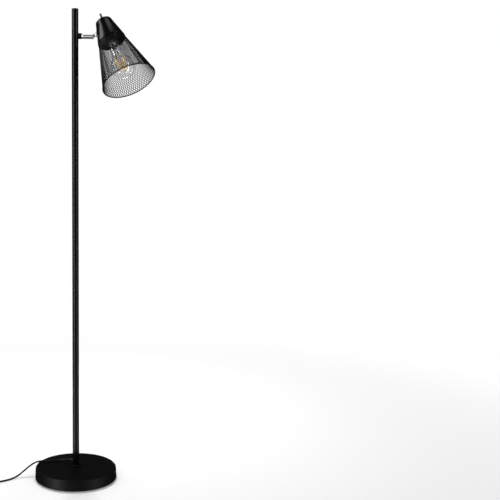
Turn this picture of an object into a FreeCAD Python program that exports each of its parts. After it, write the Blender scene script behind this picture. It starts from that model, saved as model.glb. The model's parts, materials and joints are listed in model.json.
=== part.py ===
import FreeCAD, Part

import math
import os

from FreeCAD import Vector

# Wire cage floor lamp, in millimetres. The origin is the middle of the base's underside, +Z is up, the arm
# points along +X and the front is -Y. The head is built in its own frame: its origin is the middle of the
# cup's top, z runs down the head's axis towards the opening, and x points to the plate that carries it.

# ---- Stand ----
TOTAL_HEIGHT = 1427.0
BASE_DIAMETER = 252.0
BASE_HEIGHT = 33.0
BASE_DRAFT = 1.6
BASE_EDGE_RADIUS = 3.0
COVER_WALL = 1.2
COVER_FLANGE = 9.0
PAD_THICKNESS = 2.0
PAD_INSET = 0.5
WEIGHT_THICKNESS = 11.0
WEIGHT_CLEARANCE = 1.0
WEIGHT_RECESS_DEPTH = 6.0
WEIGHT_RECESS_RADIUS = 14.0
POLE_DIAMETER = 20.0
POLE_WALL = 1.2
POLE_SECTIONS = ["pole_lower", "pole_middle", "pole_upper"]
POLE_SEAM_WIDTH = 0.3
POLE_SEAM_DEPTH = 0.25
JOINER_LENGTH = 60.0
JOINER_WALL = 2.0
CAP_DOME_HEIGHT = 2.2
CAP_EDGE_HEIGHT = 1.0
CAP_EDGE_RADIUS = 0.9
CAP_PLUG_LENGTH = 12.0
FOOT_COLLAR_WALL = 4.2
FOOT_COLLAR_HEIGHT = 7.0
FOOT_COLLAR_EDGE = 1.4
FOOT_BUSH_LENGTH = 11.0
STUD_RADIUS = 5.0
STUD_BORE = 3.2
BASE_NUT_FLATS = 16.0
BASE_NUT_HEIGHT = 4.0
BASE_WASHER_THICKNESS = 1.5
BASE_WASHER_RADIUS = 12.0
FIT_GAP = 0.1
RUNNING_GAP = 0.06
OVERCUT = 1.0

# ---- Arm and its ball ----
ARM_DROP = 80.5
ARM_RADIUS = 8.6
COLLAR_LENGTH = 9.1
BALL_OFFSET = 52.5
BALL_RADIUS = 6.3
ARM_BORE_RADIUS = 6.6
ARM_BACK_WALL = 4.0
ARM_GROOVE_OFFSET = 2.2
ARM_GROOVE_WIDTH = 0.8
ARM_GROOVE_DEPTH = 0.35
MOUTH_HALF_ANGLE = 64.5
RETAINER_RADIUS = 6.2
RETAINER_THICKNESS = 2.5
NIPPLE_END = 1.0
ARM_NUT_RADIUS = 6.5
ARM_NUT_THICKNESS = 3.0
ARM_NUT_START = 2.4
SEAT_LENGTH = 9.0
SEAT_SETBACK = 2.2
SEAT_BORE = 3.4
SPRING_WALL = 1.6
SPRING_GAP = 0.4

# ---- Stud, lock nut and plate between ball and cup ----
NECK_RADIUS = 3.2
NECK_LENGTH = 1.9
STUD_SHANK_RADIUS = 3.0
SWIVEL_BORE = 1.5
LOCK_NUT_LENGTH = 7.0
LOCK_NUT_RADIUS = 5.9
LOCK_NUT_SIDES = 12
LOCK_NUT_FACE_RADIUS = 4.1
PLATE_THICKNESS = 1.2
PLATE_LENGTH = 30.0
PLATE_WIDTH = 13.0
PLATE_CORNER = 5.0
PLATE_SCREW_PITCH = 21.0
PLATE_SCREW_RADIUS = 1.5
PLATE_SCREW_HEAD_RADIUS = 2.8
PLATE_SCREW_HEAD_HEIGHT = 2.0
PLATE_SCREW_SLOT = 0.7
PLATE_SCREW_SLOT_DEPTH = 0.8
PLATE_NUT_FLATS = 5.5
PLATE_NUT_HEIGHT = 2.2
PLATE_NUT_GAP = 0.3
PLATE_SCREW_PROUD = 1.0
SADDLE_RADIUS = 5.6
SADDLE_THICKNESS = 1.6
STUD_NUT_FLATS = 8.0
STUD_NUT_HEIGHT = 3.0
STUD_PROUD = 1.0

# ---- Where the head points ----
HEAD_LEAN = 21.3
HEAD_FRONT_TILT = 24.8
HEAD_YAW = 28.0
PLATE_PLACE = 0.40

# ---- Cup ----
CUP_LENGTH = 74.0
CUP_TOP_RADIUS = 23.8
CUP_MOUTH_RADIUS = 43.0
CUP_WALL = 0.9
CUP_DOME = 2.6
CUP_EDGE_DEPTH = 1.0
CUP_SHOULDER = 4.0
CUP_HEM_LENGTH = 3.0
CUP_HEM_WALL = 1.8
CUP_HEM_RADIUS = 0.8

# ---- Switch on the cup's top ----
SWITCH_RADIUS = 10.5
SWITCH_LENGTH = 18.0
BUSHING_RADIUS = 3.2
BUSHING_PROUD = 8.0
SWITCH_NUT_FLATS = 8.0
SWITCH_NUT_HEIGHT = 1.8
SWITCH_WASHER_RADIUS = 6.0
SWITCH_EDGE = 1.0
KNOB_RADIUS = 3.3
KNOB_LENGTH = 17.0
KNOB_STEM_RADIUS = 1.5
KNOB_STEM_LENGTH = 10.0
KNOB_RIBS = 12
KNOB_RIB_DEPTH = 0.35
KNOB_LIFT = 0.3
KNOB_EDGE = 0.6
KNOB_SKIRT = 2.0
KNOB_STEM_SPACE = 1.0

# ---- Strap and lampholder ----
STRAP_WIDTH = 12.0
STRAP_THICKNESS = 1.5
STRAP_DROP = 1.6
WASHER_DROP = 0.3
STRAP_HALF_SPAN = 15.5
STRAP_LENGTH = 34.0
HOLDER_RADIUS = 19.5
HOLDER_CROWN_RADIUS = 13.5
HOLDER_CROWN_LENGTH = 9.0
HOLDER_MOUTH = 82.0
HOLDER_FLOOR_GAP = 1.5
HOLDER_EDGE = 3.0
CONTACT_SUNK = 2.5
CONTACT_SPACE = 3.0
HOLDER_NIPPLE_RADIUS = 5.0
HOLDER_NIPPLE_BORE = 3.5
HOLDER_NIPPLE_REACH = 4.5
HOLDER_NUT_FLATS = 14.0
HOLDER_NUT_HEIGHT = 3.0
HOLDER_NIPPLE_PROUD = 0.5
SHELL_WALL = 0.6
SHELL_GAP = 0.4
SHELL_FLOOR = 1.0
SHELL_SETBACK = 0.6

# ---- Bulb ----
BULB_CAP_RADIUS = 13.1
BULB_CAP_WALL = 0.5
BULB_CAP_LENGTH = 22.0
BULB_CAP_END = 86.0
BULB_TIP_LENGTH = 4.0
BULB_TIP_RADIUS = 4.6
BULB_TIP_DISC = 1.0
INSULATOR_RADIUS = 6.6
INSULATOR_DEPTH = 2.0
BULB_RADIUS = 35.0
BULB_BOTTOM = 204.0
BULB_NECK_RADIUS = 14.5
BULB_NECK_END = 95.0
GLASS_WALL = 0.9
GLASS_SEAL = 6.0
GLASS_COLLAR = 1.0
STEM_RADIUS = 3.2
STEM_FLARE_RADIUS = 11.0
STEM_FLARE_LENGTH = 14.0
STEM_END = 184.0
STEM_END_ROUND = 2.5
FILAMENTS = 4
FILAMENT_RADIUS = 1.1
FILAMENT_TOP = 134.0
FILAMENT_BOTTOM = 176.0
FILAMENT_TOP_SPREAD = 15.5
FILAMENT_BOTTOM_SPREAD = 8.0
FILAMENT_WIRE_RADIUS = 0.4
SUPPORT_GAP = 0.5
SUPPORT_SLOPE_TOP = 8.0
SUPPORT_SLOPE_BOTTOM = 3.0

# ---- Cage ----
HEAD_LENGTH = 217.6
RIM_RADIUS = 80.0
RIM_WIRE_RADIUS = 1.5
MESH_WALL = 1.0
MESH_CELLS_AROUND = 24
MESH_ROWS = 11
MESH_GORES = 16
MESH_STRAND = 1.8
MESH_JOINT = 1.08
MESH_HOLE_REACH = 4.0
MESH_TOP_BORDER = 4.0
MESH_RIM_BORDER = 1.0
BAND_LENGTH = 11.0
BAND_PROUD = 1.5
WELD_GAP = 0.1

# ---- Cord ----
CORD_RADIUS = 2.5
SUPPLY_WIRE_RADIUS = 1.5
SUPPLY_WIRE_BEND = 4.0
HEAD_WIRE_RADIUS = 1.1
HEAD_WIRE_BEND = 3.0
EXIT_HEIGHT = 50.5
EXIT_AZIMUTH = 130.0
EXIT_SLOPE = 12.0
RELIEF_LENGTH = 20.0
RELIEF_ROOT_RADIUS = 3.9
RELIEF_TIP_RADIUS = 3.0
RELIEF_INSIDE = 4.0
RELIEF_FLANGE = 1.5
RELIEF_FLANGE_RADIUS = 5.5
COIL_CENTRE = (-310.0, -39.0)
COIL_RADIUS = 26.2
COIL_LAYERS = 4
COIL_LAYER_TURNS = 1.75
COIL_CLIMB_TURNS = 0.5
COIL_STEP = 5.7
COIL_LAYER_HEIGHT = 5.7
CORD_REST = 0.3
CORD_BEND_SHARE = 0.45
CORD_FIRST_RUN = 14.0
CORD_ROUTE = [
    (-44.0, 43.0, 38.5), (-66.0, 44.5, 36.2), (-89.0, 39.0, 37.2), (-109.0, 31.5, 40.5),
    (-128.0, 22.0, 39.5), (-146.0, 13.5, 30.0), (-162.0, 6.0, 18.0), (-178.0, -3.0, 7.0),
    (-195.0, -17.0, 2.8), (-212.0, -31.0, 2.8), (-233.0, -41.0, 2.8), (-254.0, -53.0, 2.8),
    (-272.0, -66.4, 2.8),
]
CORD_LAST_RUN = 16.0
TAIL_FIRST_RUN = 20.0
TAIL_ROUTE = [(-266.0, 3.0, 14.0), (-257.0, 24.0, 8.6), (-257.0, 43.0, 8.6)]
PLUG_LENGTH = 30.0
PLUG_WIDTH = 21.0
PLUG_HEIGHT = 16.6
PLUG_EDGE = 3.0
BLADE_LENGTH = 17.5
BLADE_WIDTH = 6.35
BLADE_THICKNESS = 1.5
BLADE_PITCH = 12.7

# ---- Derived sizes ----
pole_radius = POLE_DIAMETER / 2
pole_bore = pole_radius - POLE_WALL
base_radius = BASE_DIAMETER / 2
arm_height = TOTAL_HEIGHT - ARM_DROP
pole_top = TOTAL_HEIGHT - CAP_DOME_HEIGHT
section_length = (pole_top - BASE_HEIGHT) / len(POLE_SECTIONS)
cup_slope = (CUP_MOUTH_RADIUS - CUP_TOP_RADIUS) / CUP_LENGTH
cup_angle = math.atan(cup_slope)
cup_crown = CUP_EDGE_DEPTH - CUP_DOME
ball_centre = Vector(BALL_OFFSET, 0, arm_height)
arm_start = pole_radius + COLLAR_LENGTH
lock_nut_start = BALL_RADIUS + NECK_LENGTH
plate_start = lock_nut_start + LOCK_NUT_LENGTH
cup_distance = plate_start + PLATE_THICKNESS
plate_depth = PLATE_PLACE * CUP_LENGTH

UP = Vector(0, 0, 1)

# The cord leaves the pole here, on its back left side.
azimuth = math.radians(EXIT_AZIMUTH)
slope = math.radians(EXIT_SLOPE)
exit_direction = Vector(math.cos(azimuth) * math.cos(slope), math.sin(azimuth) * math.cos(slope),
                        -math.sin(slope))
exit_point = Vector(math.cos(azimuth) * pole_radius, math.sin(azimuth) * pole_radius, EXIT_HEIGHT)
relief_tip = exit_point + exit_direction * RELIEF_LENGTH
relief_root = exit_point - exit_direction * RELIEF_INSIDE


def save(node, shape):
    """Writes one sub-part, in place, to its own file."""
    shape.exportStep("parts/" + node + ".step")


def disc(radius, low, high):
    return Part.makeCylinder(radius, high - low, Vector(0, 0, low))


def tube(outer, inner, low, high):
    return disc(outer, low, high).cut(disc(inner, low, high))


def nut(flats, bore, low, high, sides=6):
    """A prism with that distance across its flats, drilled through."""
    corner = flats / 2 / math.cos(math.pi / sides)
    turns = [2 * math.pi * (i + 0.5) / sides for i in range(sides + 1)]
    outline = Part.makePolygon([Vector(corner * math.cos(t), corner * math.sin(t), low) for t in turns])
    return Part.Face(outline).extrude(UP * (high - low)).cut(disc(bore, low, high))


def line(a, b):
    return Part.LineSegment(Vector(a[0], 0, a[1]), Vector(b[0], 0, b[1])).toShape()


def arc(a, middle, b):
    return Part.Arc(*(Vector(p[0], 0, p[1]) for p in (a, middle, b))).toShape()


def crown_arc(radius, edge, apex):
    """A shallow arc that starts level at the apex on the axis and ends at that radius and height."""
    drop = abs(edge - apex)
    side = 1 if edge > apex else -1
    curve = (radius ** 2 + drop ** 2) / (2 * drop)
    half = radius / 2
    middle = apex + side * (curve - math.sqrt(curve ** 2 - half ** 2))
    return arc((0, apex), (half, middle), (radius, edge))


def spin(edges):
    """The solid that a closed outline of (radius, height) edges sweeps about the z axis."""
    return Part.Face(Part.Wire(edges)).revolve(Vector(0, 0, 0), UP, 360)


def spin_points(points):
    loop = points + points[:1]
    return spin([line(a, b) for a, b in zip(loop, loop[1:])])


def round_circles(shape, radius, places):
    """Rounds the circular edges that lie at the given (radius, height) places."""
    edges = []
    for edge in shape.Edges:
        box = edge.BoundBox
        for ring, height in places:
            level = abs(box.ZMin - height) < 1e-4 and abs(box.ZMax - height) < 1e-4
            if level and abs(box.XMax - ring) < 1e-3:
                edges.append(edge)
    return shape.makeFillet(radius, edges)


def bent_path(points, radius_at):
    """Straight runs joined by tangent arcs; radius_at gives each corner's radius from its two runs."""
    edges = []
    start = points[0]
    for before, corner, after in zip(points, points[1:], points[2:]):
        into = (corner - before).normalize()
        out = (after - corner).normalize()
        half_turn = into.getAngle(out) / 2
        radius = radius_at((corner - before).Length, (after - corner).Length, half_turn)
        setback = radius * math.tan(half_turn)
        first = corner - into * setback
        last = corner + out * setback
        bisector = (out - into).normalize()
        middle = corner + bisector * (radius / math.cos(half_turn) - radius)
        edges.append(Part.LineSegment(start, first).toShape())
        edges.append(Part.Arc(first, middle, last).toShape())
        start = last
    edges.append(Part.LineSegment(start, points[-1]).toShape())
    return Part.Wire(edges)


def round_section(path, radius):
    start = path.Edges[0]
    ring = Part.Circle(start.valueAt(start.FirstParameter), start.tangentAt(start.FirstParameter), radius)
    return Part.Wire([ring.toShape()])


def swept_tube(path, radius):
    return path.makePipeShell([round_section(path, radius)], True, False)


def fixed_bend(radius):
    return lambda before, after, half_turn: radius


def loose_bend(before, after, half_turn):
    """The largest radius that a free cord's two runs leave room for."""
    return CORD_BEND_SHARE * min(before, after) / math.tan(half_turn)


# ---- Base ----
def build_base():
    cover_low = PAD_THICKNESS
    top_radius = base_radius - BASE_DRAFT
    cover = spin_points([
        (STUD_RADIUS + FIT_GAP, BASE_HEIGHT),
        (top_radius, BASE_HEIGHT),
        (base_radius, cover_low),
        (base_radius - COVER_FLANGE, cover_low),
        (base_radius - COVER_FLANGE, cover_low + COVER_WALL),
        (base_radius - COVER_WALL, cover_low + COVER_WALL),
        (top_radius - COVER_WALL, BASE_HEIGHT - COVER_WALL),
        (STUD_RADIUS + FIT_GAP, BASE_HEIGHT - COVER_WALL),
    ])
    cover = round_circles(cover, BASE_EDGE_RADIUS, [(top_radius, BASE_HEIGHT)])
    inner_edge = BASE_EDGE_RADIUS - COVER_WALL
    cover = round_circles(cover, inner_edge, [(top_radius - COVER_WALL, BASE_HEIGHT - COVER_WALL)])
    save("base_cover", cover)

    save("base_pad", disc(base_radius - PAD_INSET, 0, PAD_THICKNESS))

    weight_low = cover_low + COVER_WALL
    weight_high = weight_low + WEIGHT_THICKNESS
    draft_at_weight = BASE_DRAFT * (weight_high - cover_low) / (BASE_HEIGHT - cover_low)
    weight_radius = base_radius - draft_at_weight - COVER_WALL - WEIGHT_CLEARANCE
    recess_top = weight_low + WEIGHT_RECESS_DEPTH
    weight = tube(weight_radius, STUD_RADIUS + FIT_GAP, weight_low, weight_high)
    save("base_weight", weight.cut(disc(WEIGHT_RECESS_RADIUS, weight_low, recess_top)))

    save("base_spacer", tube(pole_radius, STUD_RADIUS + FIT_GAP, weight_high, BASE_HEIGHT - COVER_WALL))

    washer_low = recess_top - BASE_WASHER_THICKNESS
    nut_low = washer_low - BASE_NUT_HEIGHT
    save("base_washer", tube(BASE_WASHER_RADIUS, STUD_RADIUS + FIT_GAP, washer_low, recess_top))
    save("base_nut", nut(BASE_NUT_FLATS, STUD_RADIUS, nut_low, washer_low))
    save("base_stud", tube(STUD_RADIUS, STUD_BORE, nut_low, BASE_HEIGHT + FOOT_BUSH_LENGTH))

    collar = tube(pole_radius + FOOT_COLLAR_WALL, pole_radius + FIT_GAP, BASE_HEIGHT,
                  BASE_HEIGHT + FOOT_COLLAR_HEIGHT)
    top_edge = [(pole_radius + FOOT_COLLAR_WALL, BASE_HEIGHT + FOOT_COLLAR_HEIGHT)]
    save("foot_collar", round_circles(collar, FOOT_COLLAR_EDGE, top_edge))
    save("foot_bush", tube(pole_bore, STUD_RADIUS, BASE_HEIGHT, BASE_HEIGHT + FOOT_BUSH_LENGTH))


# ---- Pole ----
def build_pole():
    arm_hole = Part.makeCylinder(STUD_RADIUS + FIT_GAP, 2 * pole_radius, Vector(0, 0, arm_height),
                                 Vector(1, 0, 0))
    cord_hole = Part.makeCylinder(RELIEF_ROOT_RADIUS + FIT_GAP, pole_radius, relief_root, exit_direction)
    joiners = []
    for i, name in enumerate(POLE_SECTIONS):
        low = BASE_HEIGHT + i * section_length
        high = low + section_length
        section = tube(pole_radius, pole_bore, low, high)
        if i == 0:
            section = section.cut(cord_hole)
        else:
            rebate = tube(pole_radius, pole_radius - POLE_SEAM_DEPTH, low, low + POLE_SEAM_WIDTH)
            section = section.cut(rebate)
            sleeve = tube(pole_bore - FIT_GAP, pole_bore - JOINER_WALL, low - JOINER_LENGTH / 2,
                          low + JOINER_LENGTH / 2)
            joiners.append(sleeve)
        if name == POLE_SECTIONS[-1]:
            section = section.cut(arm_hole)
        save(name, section)
    save("pole_joiners", Part.makeCompound(joiners))

    crown_edge = pole_top + CAP_EDGE_HEIGHT
    crown = spin([
        crown_arc(pole_radius, crown_edge, TOTAL_HEIGHT),
        line((pole_radius, crown_edge), (pole_radius, pole_top)),
        line((pole_radius, pole_top), (0, pole_top)),
        line((0, pole_top), (0, TOTAL_HEIGHT)),
    ])
    crown = round_circles(crown, CAP_EDGE_RADIUS, [(pole_radius, crown_edge)])
    save("pole_cap", crown.fuse(disc(pole_bore - FIT_GAP, pole_top - CAP_PLUG_LENGTH, pole_top)))


# ---- Arm, turned from +Z to +X about the ball's height ----
def along_arm(shape):
    turned = shape.copy()
    turned.Placement = FreeCAD.Placement(Vector(0, 0, arm_height), FreeCAD.Rotation(Vector(0, 1, 0), 90))
    return turned


def build_arm():
    collar = along_arm(tube(ARM_RADIUS, STUD_RADIUS + FIT_GAP, 0, arm_start))
    pole_space = Part.makeCylinder(pole_radius + FIT_GAP / 2, 4 * ARM_RADIUS,
                                   Vector(0, 0, arm_height - 2 * ARM_RADIUS))
    save("arm_collar", collar.cut(pole_space))

    back_wall_end = arm_start + ARM_BACK_WALL
    retainer_end = back_wall_end + RETAINER_THICKNESS
    nipple_end = retainer_end + NIPPLE_END
    save("arm_nipple", along_arm(tube(STUD_RADIUS, STUD_BORE, ARM_NUT_START, nipple_end)))
    save("arm_nut", along_arm(tube(ARM_NUT_RADIUS, STUD_RADIUS, ARM_NUT_START,
                                   ARM_NUT_START + ARM_NUT_THICKNESS)))
    save("arm_retainer", along_arm(tube(RETAINER_RADIUS, STUD_RADIUS, back_wall_end, retainer_end)))

    body = disc(ARM_RADIUS, arm_start, BALL_OFFSET)
    body = body.fuse(Part.makeSphere(ARM_RADIUS, Vector(0, 0, BALL_OFFSET)))
    body = body.cut(disc(STUD_RADIUS + RUNNING_GAP, arm_start - ARM_RADIUS, back_wall_end))
    body = body.cut(disc(ARM_BORE_RADIUS, back_wall_end, BALL_OFFSET))
    socket_radius = BALL_RADIUS + RUNNING_GAP
    body = body.cut(Part.makeSphere(socket_radius, Vector(0, 0, BALL_OFFSET)))
    mouth = BALL_OFFSET + socket_radius * math.cos(math.radians(MOUTH_HALF_ANGLE))
    body = body.cut(disc(2 * ARM_RADIUS, mouth, BALL_OFFSET + 2 * ARM_RADIUS))
    groove_low = arm_start + ARM_GROOVE_OFFSET
    groove_high = groove_low + ARM_GROOVE_WIDTH
    groove = tube(ARM_RADIUS + OVERCUT, ARM_RADIUS - ARM_GROOVE_DEPTH, groove_low, groove_high)
    body = body.cut(groove)
    save("arm_tube", along_arm(body))

    seat_radius = ARM_BORE_RADIUS - FIT_GAP
    seat_high = BALL_OFFSET - SEAT_SETBACK
    seat_low = seat_high - SEAT_LENGTH
    seat = tube(seat_radius, SEAT_BORE, seat_low, seat_high)
    seat = seat.cut(Part.makeSphere(socket_radius, Vector(0, 0, BALL_OFFSET)))
    save("ball_seat", along_arm(seat))
    spring_low = nipple_end + SPRING_GAP
    save("seat_spring", along_arm(tube(seat_radius, seat_radius - SPRING_WALL, spring_low, seat_low)))


# ---- The head's frame ----
lean = math.radians(HEAD_LEAN)
front = math.radians(HEAD_FRONT_TILT)
yaw = math.radians(HEAD_YAW)
head_axis = Vector(math.sin(lean) * math.cos(front), -math.sin(front), -math.cos(lean) * math.cos(front))
towards_pole = Vector(-1, 0, 0) + head_axis * head_axis.x
towards_pole.normalize()
towards_back = head_axis.cross(towards_pole)
if towards_back.y < 0:
    towards_back = towards_back * -1
plate_side = towards_pole * math.cos(yaw) + towards_back * math.sin(yaw)
across = head_axis.cross(plate_side)


def cup_radius(depth):
    return CUP_TOP_RADIUS + cup_slope * depth


stud_out = Vector(math.cos(cup_angle), 0, -math.sin(cup_angle))
ball_in_head = Vector(cup_radius(plate_depth), 0, plate_depth) + stud_out * cup_distance
head_rotation = FreeCAD.Matrix(plate_side.x, across.x, head_axis.x, 0,
                               plate_side.y, across.y, head_axis.y, 0,
                               plate_side.z, across.z, head_axis.z, 0,
                               0, 0, 0, 1)
head_origin = ball_centre - head_rotation.multVec(ball_in_head)
head_placement = FreeCAD.Placement(head_origin, FreeCAD.Placement(head_rotation).Rotation)
stud_placement = FreeCAD.Placement(ball_in_head, FreeCAD.Rotation(UP, stud_out * -1))


def save_head(node, shape):
    placed = shape.copy()
    placed.Placement = head_placement.multiply(placed.Placement)
    save(node, placed)


def from_ball(shape):
    """Places a piece built along +Z from the ball's centre, so that it points at the cup."""
    placed = shape.copy()
    placed.Placement = stud_placement.multiply(placed.Placement)
    return placed


def cup_solid(inset, reach):
    """The cup's space, drawn in by inset from its outer face and reaching past its mouth by reach."""
    side_inset = inset / math.cos(cup_angle)
    shoulder = CUP_SHOULDER - inset
    crown = cup_crown + inset
    edge_depth = cup_crown + CUP_DOME + inset
    edge_radius = cup_radius(edge_depth) - side_inset
    mouth = CUP_LENGTH + reach
    mouth_radius = cup_radius(mouth) - side_inset
    solid = spin([
        crown_arc(edge_radius, edge_depth, crown),
        line((edge_radius, edge_depth), (mouth_radius, mouth)),
        line((mouth_radius, mouth), (0, mouth)),
        line((0, mouth), (0, crown)),
    ])
    return round_circles(solid, shoulder, [(edge_radius, edge_depth)])


def build_cup():
    inside = cup_solid(CUP_WALL, OVERCUT)
    cup = cup_solid(0, 0).cut(inside)
    hem_top = CUP_LENGTH - CUP_HEM_LENGTH
    hem_inset = CUP_HEM_WALL / math.cos(cup_angle)
    hem = spin_points([
        (cup_radius(hem_top), hem_top),
        (cup_radius(CUP_LENGTH), CUP_LENGTH),
        (cup_radius(CUP_LENGTH) - hem_inset, CUP_LENGTH),
        (cup_radius(hem_top) - hem_inset, hem_top),
    ])
    cup = cup.fuse(hem).removeSplitter()
    edges = [(cup_radius(CUP_LENGTH), CUP_LENGTH), (cup_radius(CUP_LENGTH) - hem_inset, CUP_LENGTH)]
    cup = round_circles(cup, CUP_HEM_RADIUS, edges)
    cup = cup.cut(disc(BUSHING_RADIUS + FIT_GAP, -2 * CUP_DOME, 2 * CUP_DOME))
    reach = cup_distance + 2 * CUP_WALL + OVERCUT
    holes = [disc(STUD_SHANK_RADIUS + RUNNING_GAP, plate_start, reach)]
    for side in (-1, 1):
        hole = disc(PLATE_SCREW_RADIUS + FIT_GAP, plate_start, reach)
        hole.translate(Vector(side * PLATE_SCREW_PITCH / 2, 0, 0))
        holes.append(hole)
    for hole in holes:
        cup = cup.cut(from_ball(hole))
    save_head("cup", cup)
    return inside


def plate_outline(low, high):
    """A bar with well rounded corners, long in x."""
    block = Part.makeBox(PLATE_LENGTH, PLATE_WIDTH, high - low,
                         Vector(-PLATE_LENGTH / 2, -PLATE_WIDTH / 2, low))
    upright = [edge for edge in block.Edges if abs(edge.tangentAt(0).z) > 0.9]
    return block.makeFillet(PLATE_CORNER, upright)


def build_swivel(inside):
    cup_end = cup_distance + CUP_WALL
    saddle_end = cup_end + SADDLE_THICKNESS
    nut_end = saddle_end + STUD_NUT_HEIGHT
    stud_end = nut_end + STUD_PROUD
    stud = Part.makeSphere(BALL_RADIUS)
    stud = stud.fuse(disc(NECK_RADIUS, 0, lock_nut_start))
    stud = stud.fuse(disc(STUD_SHANK_RADIUS, 0, stud_end))
    stud = stud.cut(disc(SWIVEL_BORE, -BALL_RADIUS, stud_end))
    save_head("ball_stud", from_ball(stud))

    lock_nut = nut(2 * LOCK_NUT_RADIUS * math.cos(math.pi / LOCK_NUT_SIDES), STUD_SHANK_RADIUS,
                   lock_nut_start, plate_start, LOCK_NUT_SIDES)
    beyond = LOCK_NUT_RADIUS + OVERCUT
    chamfer = spin_points([
        (LOCK_NUT_FACE_RADIUS, lock_nut_start),
        (beyond, lock_nut_start),
        (beyond, lock_nut_start + beyond - LOCK_NUT_FACE_RADIUS),
    ])
    save_head("lock_nut", from_ball(lock_nut.cut(chamfer)))
    save_head("stud_nut", from_ball(nut(STUD_NUT_FLATS, STUD_SHANK_RADIUS, saddle_end, nut_end)))

    stud_hole = disc(STUD_SHANK_RADIUS + RUNNING_GAP, plate_start, saddle_end)
    plate = plate_outline(plate_start, cup_end + OVERCUT).cut(stud_hole)
    saddle = disc(SADDLE_RADIUS, cup_distance, saddle_end).cut(stud_hole)
    screws = []
    nuts = []
    nut_low = cup_end + PLATE_NUT_GAP
    nut_high = nut_low + PLATE_NUT_HEIGHT
    for side in (-1, 1):
        place = Vector(side * PLATE_SCREW_PITCH / 2, 0, 0)
        hole = disc(PLATE_SCREW_RADIUS + FIT_GAP, plate_start, cup_end + OVERCUT)
        hole.translate(place)
        plate = plate.cut(hole)
        head_low = plate_start - PLATE_SCREW_HEAD_HEIGHT
        head = disc(PLATE_SCREW_HEAD_RADIUS, head_low, plate_start)
        head = round_circles(head, PLATE_SCREW_HEAD_HEIGHT / 2, [(PLATE_SCREW_HEAD_RADIUS, head_low)])
        slot = Part.makeBox(2 * PLATE_SCREW_HEAD_RADIUS, PLATE_SCREW_SLOT, PLATE_SCREW_SLOT_DEPTH,
                            Vector(-PLATE_SCREW_HEAD_RADIUS, -PLATE_SCREW_SLOT / 2, head_low))
        cross = slot.copy()
        cross.rotate(Vector(0, 0, 0), UP, 90)
        shank = disc(PLATE_SCREW_RADIUS, head_low + PLATE_SCREW_HEAD_HEIGHT / 2, nut_high + PLATE_SCREW_PROUD)
        screw = head.fuse(shank).cut(slot).cut(cross)
        screw.translate(place)
        screws.append(from_ball(screw))
        plate_nut = nut(PLATE_NUT_FLATS, PLATE_SCREW_RADIUS, nut_low, nut_high)
        plate_nut.translate(place)
        nuts.append(from_ball(plate_nut))
    save_head("swivel_plate", from_ball(plate).cut(cup_solid(0, 0)))
    save_head("saddle_washer", from_ball(saddle).common(inside))
    save_head("plate_screws", Part.makeCompound(screws))
    save_head("plate_nuts", Part.makeCompound(nuts))
    return stud_end


# ---- Switch, strap and lampholder ----
def build_switch():
    web_low = cup_crown + CUP_WALL + STRAP_DROP
    web_high = web_low + STRAP_THICKNESS
    nut_high = cup_crown - FIT_GAP / 2
    nut_low = nut_high - SWITCH_NUT_HEIGHT
    bushing_top = cup_crown - BUSHING_PROUD
    washer_low = cup_crown + CUP_WALL + WASHER_DROP
    save_head("switch_washer", tube(SWITCH_WASHER_RADIUS, BUSHING_RADIUS + FIT_GAP, washer_low, web_low))
    save_head("switch_nut", nut(SWITCH_NUT_FLATS, BUSHING_RADIUS, nut_low, nut_high))
    switch = disc(SWITCH_RADIUS, web_high, web_high + SWITCH_LENGTH)
    switch = round_circles(switch, SWITCH_EDGE, [(SWITCH_RADIUS, web_high + SWITCH_LENGTH)])
    switch = switch.fuse(disc(BUSHING_RADIUS, bushing_top, web_high))
    stem_end = bushing_top + KNOB_STEM_LENGTH
    stem_bore = disc(KNOB_STEM_RADIUS + RUNNING_GAP, bushing_top, stem_end + KNOB_STEM_SPACE)
    save_head("switch_body", switch.cut(stem_bore))

    knob_low = bushing_top - KNOB_LIFT
    grip = disc(KNOB_RADIUS, knob_low - KNOB_LENGTH, knob_low)
    grip = round_circles(grip, KNOB_EDGE, [(KNOB_RADIUS, knob_low - KNOB_LENGTH)])
    for i in range(KNOB_RIBS):
        turn = 2 * math.pi * i / KNOB_RIBS
        flute = disc(KNOB_RIB_DEPTH, knob_low - KNOB_LENGTH - OVERCUT, knob_low - KNOB_SKIRT)
        flute.translate(Vector(KNOB_RADIUS * math.cos(turn), KNOB_RADIUS * math.sin(turn), 0))
        grip = grip.cut(flute)
    knob = grip.fuse(disc(KNOB_STEM_RADIUS, knob_low, stem_end))
    save_head("switch_knob", knob)

    strap_low = web_low
    strap_high = STRAP_LENGTH
    half_width = STRAP_WIDTH / 2
    outer = Part.makeBox(STRAP_WIDTH, 2 * STRAP_HALF_SPAN, strap_high - strap_low,
                         Vector(-half_width, -STRAP_HALF_SPAN, strap_low))
    inner_span = STRAP_HALF_SPAN - STRAP_THICKNESS
    inner = Part.makeBox(STRAP_WIDTH, 2 * inner_span, strap_high - strap_low - 2 * STRAP_THICKNESS,
                         Vector(-half_width, -inner_span, strap_low + STRAP_THICKNESS))
    strap = outer.cut(inner)
    strap = strap.cut(disc(BUSHING_RADIUS + FIT_GAP, strap_low, strap_low + STRAP_THICKNESS))
    strap = strap.cut(disc(HOLDER_NIPPLE_RADIUS + FIT_GAP, strap_high - STRAP_THICKNESS, strap_high))
    save_head("holder_strap", strap)
    return web_high + SWITCH_LENGTH


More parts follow.
